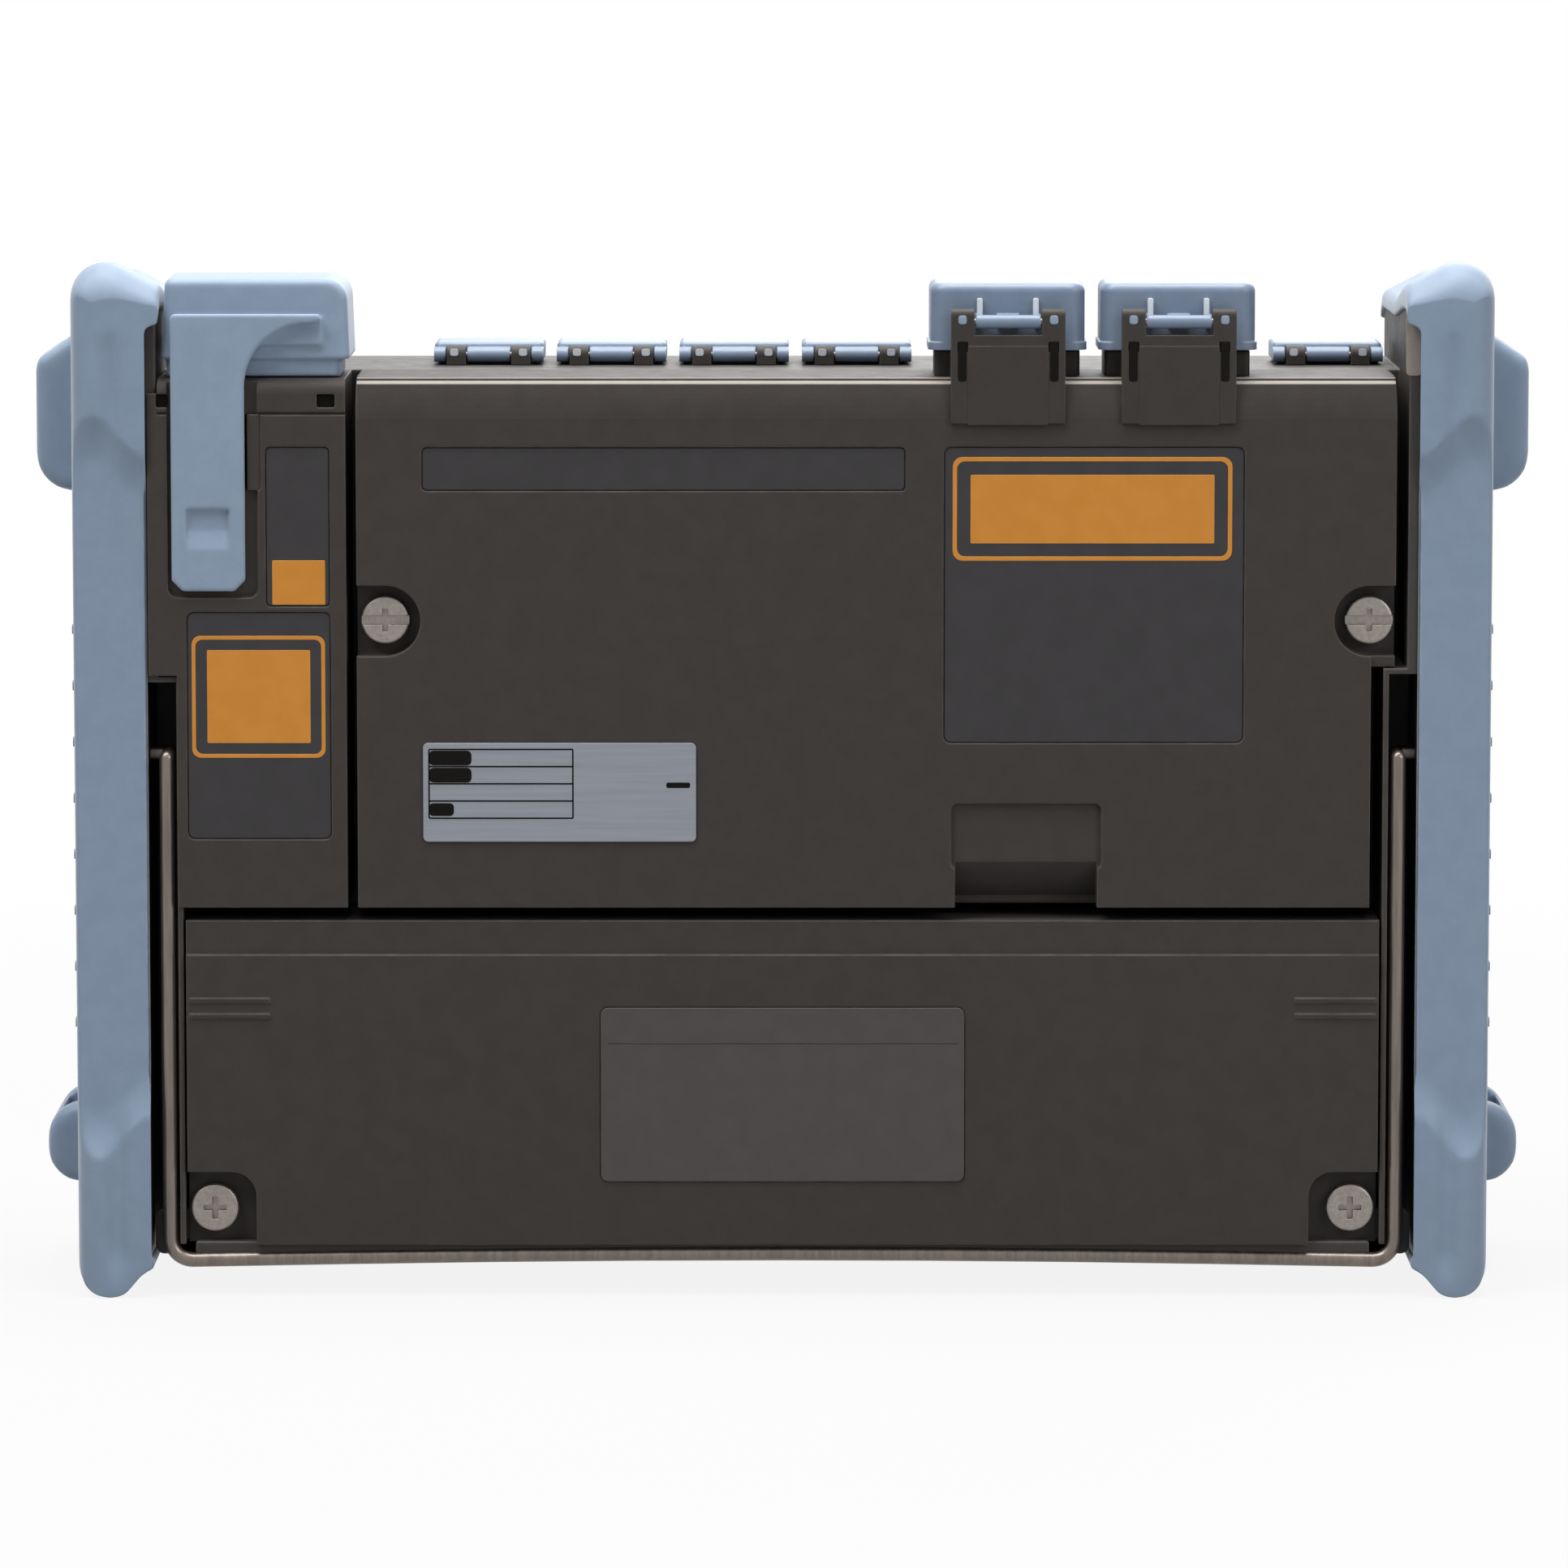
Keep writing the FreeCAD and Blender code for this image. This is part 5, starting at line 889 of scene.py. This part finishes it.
def rowRule(name, material):
    # bars in a row or grid: made flat in X and Y, then stood up
    tree, given, result = newRule(name, {
        "Columns": ("Int", 1), "Rows": ("Int", 1), "Column Step": ("Float", 0.01), "Row Step": ("Float", 0.01),
        "Bar": ("Vector", (0.001, 0.001, 0.001)), "Start": ("Vector", (0.0, 0.0, 0.0)), "Turn": ("Vector", upright),
    })
    along = addNode(tree, "ShaderNodeCombineXYZ", X=given["Column Step"])
    upward = addNode(tree, "ShaderNodeCombineXYZ", Z=given["Row Step"])
    row = addNode(tree, "GeometryNodeMeshLine", Count=given["Columns"], Offset=along.outputs[0])
    column = addNode(tree, "GeometryNodeMeshLine", Count=given["Rows"], Offset=upward.outputs[0])
    grid = addNode(tree, "GeometryNodeInstanceOnPoints", Points=column.outputs[0], Instance=row.outputs[0])
    points = addNode(tree, "GeometryNodeRealizeInstances", Geometry=grid.outputs[0])
    placed = addNode(
        tree, "GeometryNodeInstanceOnPoints", Points=points.outputs[0], Instance=roundedBar(tree, given["Bar"]),
        Rotation=given["Turn"],
    )
    return finishRule(tree, placed.outputs[0], given["Start"], (0.0, 0.0, 0.0), material, result)


def ringRule(name, material):
    # ribs round an axis that points along Y
    tree, given, result = newRule(name, {
        "Count": ("Int", 12), "Radius": ("Float", 0.01), "Bar": ("Vector", (0.001, 0.001, 0.001)),
        "Centre": ("Vector", (0.0, 0.0, 0.0)),
    })
    ring = addNode(tree, "GeometryNodeMeshCircle", Vertices=given["Count"], Radius=given["Radius"])
    place = addNode(tree, "GeometryNodeInputPosition").outputs[0]
    facing = addNode(tree, "FunctionNodeAlignRotationToVector", {"axis": "X"}, Vector=place)
    placed = addNode(
        tree, "GeometryNodeInstanceOnPoints", Points=ring.outputs[0], Rotation=facing.outputs[0],
        Instance=roundedBar(tree, given["Bar"]),
    )
    return finishRule(tree, placed.outputs[0], given["Centre"], (math.radians(-90), 0.0, 0.0), material, result)


def fromRules(name, material, body, tree, runs):
    # one piece from several uses of a rule, each with its own sizes
    whole = bmesh.new()
    for sizes in runs:
        blank = newObject(name, bpy.data.meshes.new(name))
        rule = blank.modifiers.new("rule", "NODES")
        rule.node_group = tree
        for socket in tree.interface.items_tree:
            if socket.in_out == "INPUT" and socket.name in sizes:
                rule[socket.identifier] = sizes[socket.name]
        graph = bpy.context.evaluated_depsgraph_get()
        made = bpy.data.meshes.new_from_object(blank.evaluated_get(graph))
        whole.from_mesh(made)
        bpy.data.objects.remove(blank)
        bpy.data.meshes.remove(made)
    newPiece(name, finishMesh(name, whole), material, body)


def centreX(label):
    low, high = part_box(label)
    return (low.x + high.x) / 2


def onePair(middle, out, bar, y, z):
    # two bars, one on each side of a middle
    return {"Columns": 2, "Column Step": out * 2, "Bar": bar, "Start": (middle - out, y, z)}


# things that repeat

# ruled table on the rating plate, with blank cells
table = {
    "rule": mm(0.3), "ink": mm(0.05), "left": mm(1.2), "right": mm(30.3), "top": mm(1.3), "step": mm(3.5),
    "cell": (mm(8.6), mm(0.5)), "shortCell": (mm(5.0), mm(0.9)),  # width, and how much lower than the step
    "mark": (mm(4.8), mm(1.1)), "markIn": (mm(3.6), mm(8.6)),
}
plateLow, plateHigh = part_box("rating_plate")
rules = rowRule("tableRules", "blackPrintAndShade")
tableLeft, tableRight = plateLow.x + table["left"], plateLow.x + table["right"]
tableTop, tableStep, ink = plateHigh.z - table["top"], table["step"], table["ink"]
(cellWide, cellGap), (shortWide, shortGap) = table["cell"], table["shortCell"]
fromRules("rating_table", "blackPrintAndShade", "mainframe", rules, [
    {"Rows": 5, "Row Step": -tableStep, "Bar": (tableRight - tableLeft, ink, table["rule"]),
     "Start": ((tableLeft + tableRight) / 2, plateLow.y, tableTop)},
    {"Columns": 2, "Column Step": tableRight - tableLeft, "Bar": (table["rule"], ink, tableStep * 4),
     "Start": (tableLeft, plateLow.y, tableTop - tableStep * 2)},
    {"Rows": 2, "Row Step": -tableStep, "Bar": (cellWide, ink, tableStep - cellGap),
     "Start": (tableLeft + cellWide / 2, plateLow.y, tableTop - tableStep / 2)},
    {"Bar": (shortWide, ink, tableStep - shortGap),
     "Start": (tableLeft + shortWide / 2, plateLow.y, tableTop - tableStep * 3.5)},
    {"Bar": (table["mark"][0], ink, table["mark"][1]),
     "Start": (plateHigh.x - table["markIn"][0], plateLow.y, plateHigh.z - table["markIn"][1])},
])

# grip ribs across the bumpers' outer sides
ribs = {"count": 8, "pitch": mm(11.5), "first": mm(55), "bar": (mm(58), mm(1.3), mm(1.9)), "out": mm(142.9)}
ribRule = rowRule("gripRibs", "bumperRubber")
for side, name in ((-1, "left"), (1, "right")):
    fromRules(f"bumper_ribs_{name}", "bumperRubber", "mainframe", ribRule, [{
        "Rows": ribs["count"], "Row Step": ribs["pitch"], "Bar": ribs["bar"],
        "Start": (side * ribs["out"], 0.0, ribs["first"]), "Turn": (math.radians(90), 0.0, side * math.radians(90)),
    }])

# the line across the plate on the battery cover
plateLine = {"ends": mm(3.0), "thick": mm(0.05), "wide": mm(0.28), "drop": mm(7.2)}
coverLow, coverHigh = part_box("cover_plate")
fromRules("cover_plate_line", "darkInk", "mainframe", rules, [{
    "Bar": (coverHigh.x - coverLow.x - plateLine["ends"], plateLine["thick"], plateLine["wide"]),
    "Start": (centreX("cover_plate"), coverLow.y, coverHigh.z - plateLine["drop"]),
}])

# spring contacts inside the deck sockets, in two rows
contacts = {
    "pin": (mm(0.45), mm(0.35), mm(6.0)), "pitch": mm(1.25), "count": 6, "back": mm(4.2), "rows": (0.0, mm(3.4)),
    "lift": mm(4.6),
}
flaps = [f"flap_{index}" for index in range(1, 6)]
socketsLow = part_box("deck_sockets")[0]
halfRow = contacts["pitch"] * (contacts["count"] - 1) / 2
fromRules("socket_contacts", "contactGold", "mainframe", rowRule("socketContacts", "contactGold"), [
    {"Columns": contacts["count"], "Column Step": contacts["pitch"], "Bar": contacts["pin"],
     "Start": (centreX(flap) - halfRow, socketsLow.y + contacts["back"] + row, socketsLow.z + contacts["lift"])}
    for flap in flaps for row in contacts["rows"]
])

# grip round the knob's rim
grip = {"count": 56, "radius": mm(13.0), "rib": (mm(0.7), mm(1.5), mm(0.75)), "rimDrop": mm(2.1)}
knobLow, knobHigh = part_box("knob")
knobCentre = (centreX("knob"), knobHigh.y - grip["rimDrop"], (knobLow.z + knobHigh.z) / 2)
fromRules("knob_grip", "fittingPlastic", "knob", ringRule("knobGrip", "fittingPlastic"), [
    {"Count": grip["count"], "Radius": grip["radius"], "Bar": grip["rib"], "Centre": knobCentre},
])
print("repeated pieces made")


# lip, keel and heels that close the battery cover's lower edge

batteryLow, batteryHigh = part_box("battery_cover")
lip = {
    "ends": mm(1.5), "rise": mm(0.4), "drop": mm(2.0), "back": mm(9.0), "inset": mm(1.6), "round": mm(0.4),
    "keelDrop": mm(3.6), "keelBack": mm(13.0), "keelInset": mm(5.3), "keelOut": mm(2.2), "keelRound": mm(1.8),
    "heelWide": mm(14.2), "heelRise": mm(6.6), "heelOut": mm(7.0), "heelLift": mm(0.9),
}
lipTop, lipEnd = batteryLow.z + lip["rise"], lip["ends"]
lipOuter = roundedLoop(
    (batteryLow.x + lipEnd, batteryLow.z - lip["drop"]), (batteryHigh.x - lipEnd, lipTop), lip["round"],
)
sticker("cover_lip", "mainframePlastic", lipOuter, unitLow.y + lip["back"], lip["back"] - lip["inset"])
keelLow, keelEnd = batteryLow.z - lip["keelDrop"], batteryHigh.x + lip["keelOut"]
heelEnd, heelLow, heelTop = batteryHigh.x + lip["heelOut"], keelLow + lip["heelLift"], batteryLow.z + lip["heelRise"]
keelParts = {
    "cover_keel": (-keelEnd, keelEnd, keelLow, lipTop),
    "cover_heel_left": (-heelEnd, lip["heelWide"] - heelEnd, heelLow, heelTop),
    "cover_heel_right": (heelEnd - lip["heelWide"], heelEnd, heelLow, heelTop),
}
for name, (left, right, low, top) in keelParts.items():
    outer = roundedLoop((left, low), (right, top), lip["keelRound"])
    sticker(
        name, "mainframePlastic", outer, unitLow.y + lip["keelBack"], lip["keelBack"] - lip["keelInset"],
    )


# crisp upper edge of the unit's rear, which its solid rounds off broadly; the faces of its rounding that look up and
# back are painted pale beige as a highlight

deckEdge = {
    "foot": mm(9.0), "lean": mm(0.95), "shoulder": mm(1.85), "round": mm(1.3), "ledge": mm(0.4),
    "flat": mm(8.6), "proud": mm(0.03), "ends": mm(0.25), "tuck": mm(0.05), "break": mm(0.15),
    # points inside the case that close the profile: behind the rear face, below the top
    "under": ((mm(8.6), mm(1.2)), (mm(2.4), mm(6.4)), (mm(0.5), mm(9.0))),
    "pale": (-0.2, 0.45),  # the normals' Y and Z past which the rounding is painted pale, as a highlight
}
edgeBack, edgeTop = unitLow.y - deckEdge["proud"], unitHigh.z + deckEdge["proud"]
leanY, shoulderZ = edgeBack + deckEdge["lean"], edgeTop - deckEdge["shoulder"]
footZ = edgeTop - deckEdge["foot"]
profile = [(unitLow.y + deckEdge["tuck"], footZ)]
for share in (0.1, 0.3, 0.5, 0.7, 0.85):
    profile.append((edgeBack + deckEdge["lean"] * share ** 2, footZ + (shoulderZ - footZ) * share))
for step in range(7):
    angle = math.radians(90 * step / 6)
    profile.append((
        leanY + deckEdge["round"] * (1 - math.cos(angle)), shoulderZ + deckEdge["round"] * math.sin(angle),
    ))
ledgeY = leanY + deckEdge["round"] + deckEdge["ledge"]
profile += [
    (ledgeY, shoulderZ + deckEdge["round"]), (ledgeY, edgeTop - deckEdge["break"]),
    (ledgeY + deckEdge["break"], edgeTop), (unitLow.y + deckEdge["flat"], edgeTop),
]
profile += [(unitLow.y + back, edgeTop - below) for back, below in deckEdge["under"]]
shape = bmesh.new()
rings = [
    [shape.verts.new((x, y, z)) for y, z in profile]
    for x in (unitLow.x + deckEdge["ends"], unitHigh.x - deckEdge["ends"])
]
addWall(shape, *rings)
for ring in rings:
    shape.faces.new(ring)
mesh = finishMesh("deck_edge", shape)
newPiece("deck_edge", mesh, "casePlastic", "mainframe")
# a second, pale beige finish: painted highlight on the rounding's faces that look up and back
mesh.materials.append(finish["paleHighlightBeige"])
highlightY, highlightZ = deckEdge["pale"]
for face in mesh.polygons:
    face.material_index = 1 if face.normal.y < highlightY and face.normal.z > highlightZ else 0


# small windows, arms and slots of the hinges; the windows are squares painted as highlights, the slots black bars
# painted as shade

# bars: width, thickness, height; "out" is from a hinge's middle, "drop" from the named box's top
hinge = {
    "post": (mm(1.7), mm(0.08), mm(1.5)), "postOut": mm(7.1), "postDrop": mm(1.3),
    "bracket": (mm(1.7), mm(0.08), mm(1.8)), "bracketOut": mm(9.2), "bracketDrop": mm(2.2),
    "arm": (mm(1.15), mm(0.9), mm(5.2)), "armOut": mm(5.65), "armDrop": mm(5.6), "armBack": mm(33.25),
    "slot": (mm(1.75), mm(0.07), mm(8.0)), "slotOut": mm(9.25), "slotDrop": mm(10.6),
    "faceOut": mm(8.1), "faceDrop": (mm(23.4), mm(7.4)), "faceThick": mm(0.08), "faceRound": mm(0.4),
}
postLow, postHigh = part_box("flap_posts")
mountLow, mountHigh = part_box("port_mounts")
lids = ("port_lid_1", "port_lid_2")
# pale squares painted as the highlights of the pins seen through the posts' windows
fromRules("flap_post_glints", "paleInkAndGlint", "mainframe", rowRule("postWindowGlints", "paleInkAndGlint"), [
    onePair(centreX(flap), hinge["postOut"], hinge["post"], postLow.y, postHigh.z - hinge["postDrop"])
    for flap in flaps
])
# lighter blue squares painted as the highlight in the brackets' windows
fromRules("bracket_window_glints", "capRubber", "mainframe", rowRule("bracketWindowGlints", "capRubber"), [
    onePair(centreX(lid), hinge["bracketOut"], hinge["bracket"], mountLow.y, mountHigh.z - hinge["bracketDrop"])
    for lid in lids
])
armRule = rowRule("lidArms", "clipPlastic")
for index, lid in enumerate(lids):
    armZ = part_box(lid)[1].z - hinge["armDrop"]
    fromRules(f"lid_arms_{index + 1}", "clipPlastic", lid, armRule, [
        onePair(centreX(lid), hinge["armOut"], hinge["arm"], -hinge["armBack"], armZ),
    ])

# pale strip on the right tower's inner side, painted as the highlight of a glancing reflection
column = {"bar": (mm(3.3), mm(0.12), mm(12.4)), "place": (mm(127.2), -mm(36.48), mm(193.7))}
fromRules("tower_column_highlight", "paleHighlightBeige", "mainframe", rowRule("towerColumnHighlight", "paleHighlightBeige"), [
    {"Bar": column["bar"], "Start": column["place"]},
])

faceLow, faceHigh = [mountHigh.z - drop for drop in hinge["faceDrop"]]
for index, lid in enumerate(lids):
    middle, half = centreX(lid), hinge["faceOut"]
    face = roundedLoop((middle - half, faceLow), (middle + half, faceHigh), hinge["faceRound"])
    sticker(f"bracket_face_{index + 1}", "fittingPlastic", face, mountLow.y, hinge["faceThick"])
# black bars painted as shade in the brackets' slots
fromRules("bracket_slot_shade", "blackPrintAndShade", "mainframe", rowRule("bracketSlotShade", "blackPrintAndShade"), [
    onePair(centreX(lid), hinge["slotOut"], hinge["slot"], mountLow.y, mountHigh.z - hinge["slotDrop"])
    for lid in lids
])


# black squares painted as shade in the pockets of the module's band, and a fill at the side of the strap's seat

band = {
    "pocket": (mm(3.4), mm(0.05), mm(2.5)), "pocketDrop": mm(4.45), "pocketSink": mm(0.75),
    "pocketIn": (mm(3.9), mm(2.6)),  # from the module's right and left ends
    "fillSides": (mm(0.5), mm(3.4)), "fillDrop": (mm(22.5), mm(7.2)), "fillBack": mm(2.4), "fillThick": mm(2.1),
    "fillRound": mm(0.3),
}
rightIn, leftIn = band["pocketIn"]
# black squares painted as shade in the band's pockets
fromRules("band_pocket_shade", "blackPrintAndShade", "mainframe", rowRule("bandPocketShade", "blackPrintAndShade"), [
    {"Bar": band["pocket"], "Start": (x, moduleLow.y + band["pocketSink"], moduleHigh.z - band["pocketDrop"])}
    for x in (moduleHigh.x - rightIn, moduleLow.x + leftIn)
])
(fillLeft, fillRight), (fillLow, fillHigh) = band["fillSides"], band["fillDrop"]
fill = roundedLoop(
    (strapHigh.x + fillLeft, moduleHigh.z - fillLow), (strapHigh.x + fillRight, moduleHigh.z - fillHigh),
    band["fillRound"],
)
sticker("strap_side_fill", "casePlastic", fill, moduleLow.y + band["fillBack"], band["fillThick"])
print("lip and windows made")


# marks on the keys: arrows and bars only

marks = {"rise": mm(0.12), "sunk": mm(0.15), "arrow": mm(2.6), "bar": (mm(4.2), mm(0.7)), "barRound": 0.45}
arrow = ((1.0, 0.0), (-0.6, -0.9), (-0.6, 0.9))  # along and across the way it points


def keyMark(label, outline):
    # a flat raised shape on a key's front face, given as points round its middle
    low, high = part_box(label)
    middleX, middleZ = (low.x + high.x) / 2, (low.z + high.z) / 2
    moved = [(middleX + x, middleZ + z) for x, z in outline]
    sticker(
        f"{label}_mark", "paleInkAndGlint", moved, high.y + marks["rise"], marks["rise"] + marks["sunk"], body=label,
    )


for label, turn in (("key_up", 0), ("key_left", 90), ("key_down", 180), ("key_right", 270)):
    # seen from the screen side, the left key lies at larger x
    cosine, sine = math.cos(math.radians(turn)), math.sin(math.radians(turn))
    keyMark(label, [
        (marks["arrow"] * (across * cosine + along * sine), marks["arrow"] * (along * cosine - across * sine))
        for along, across in arrow
    ])
wide, tall = marks["bar"]
for label in ("key_start", "key_test"):
    keyMark(label, roundedLoop((-wide / 2, -tall / 2), (wide / 2, tall / 2), tall * marks["barRound"]))
print("key marks made")
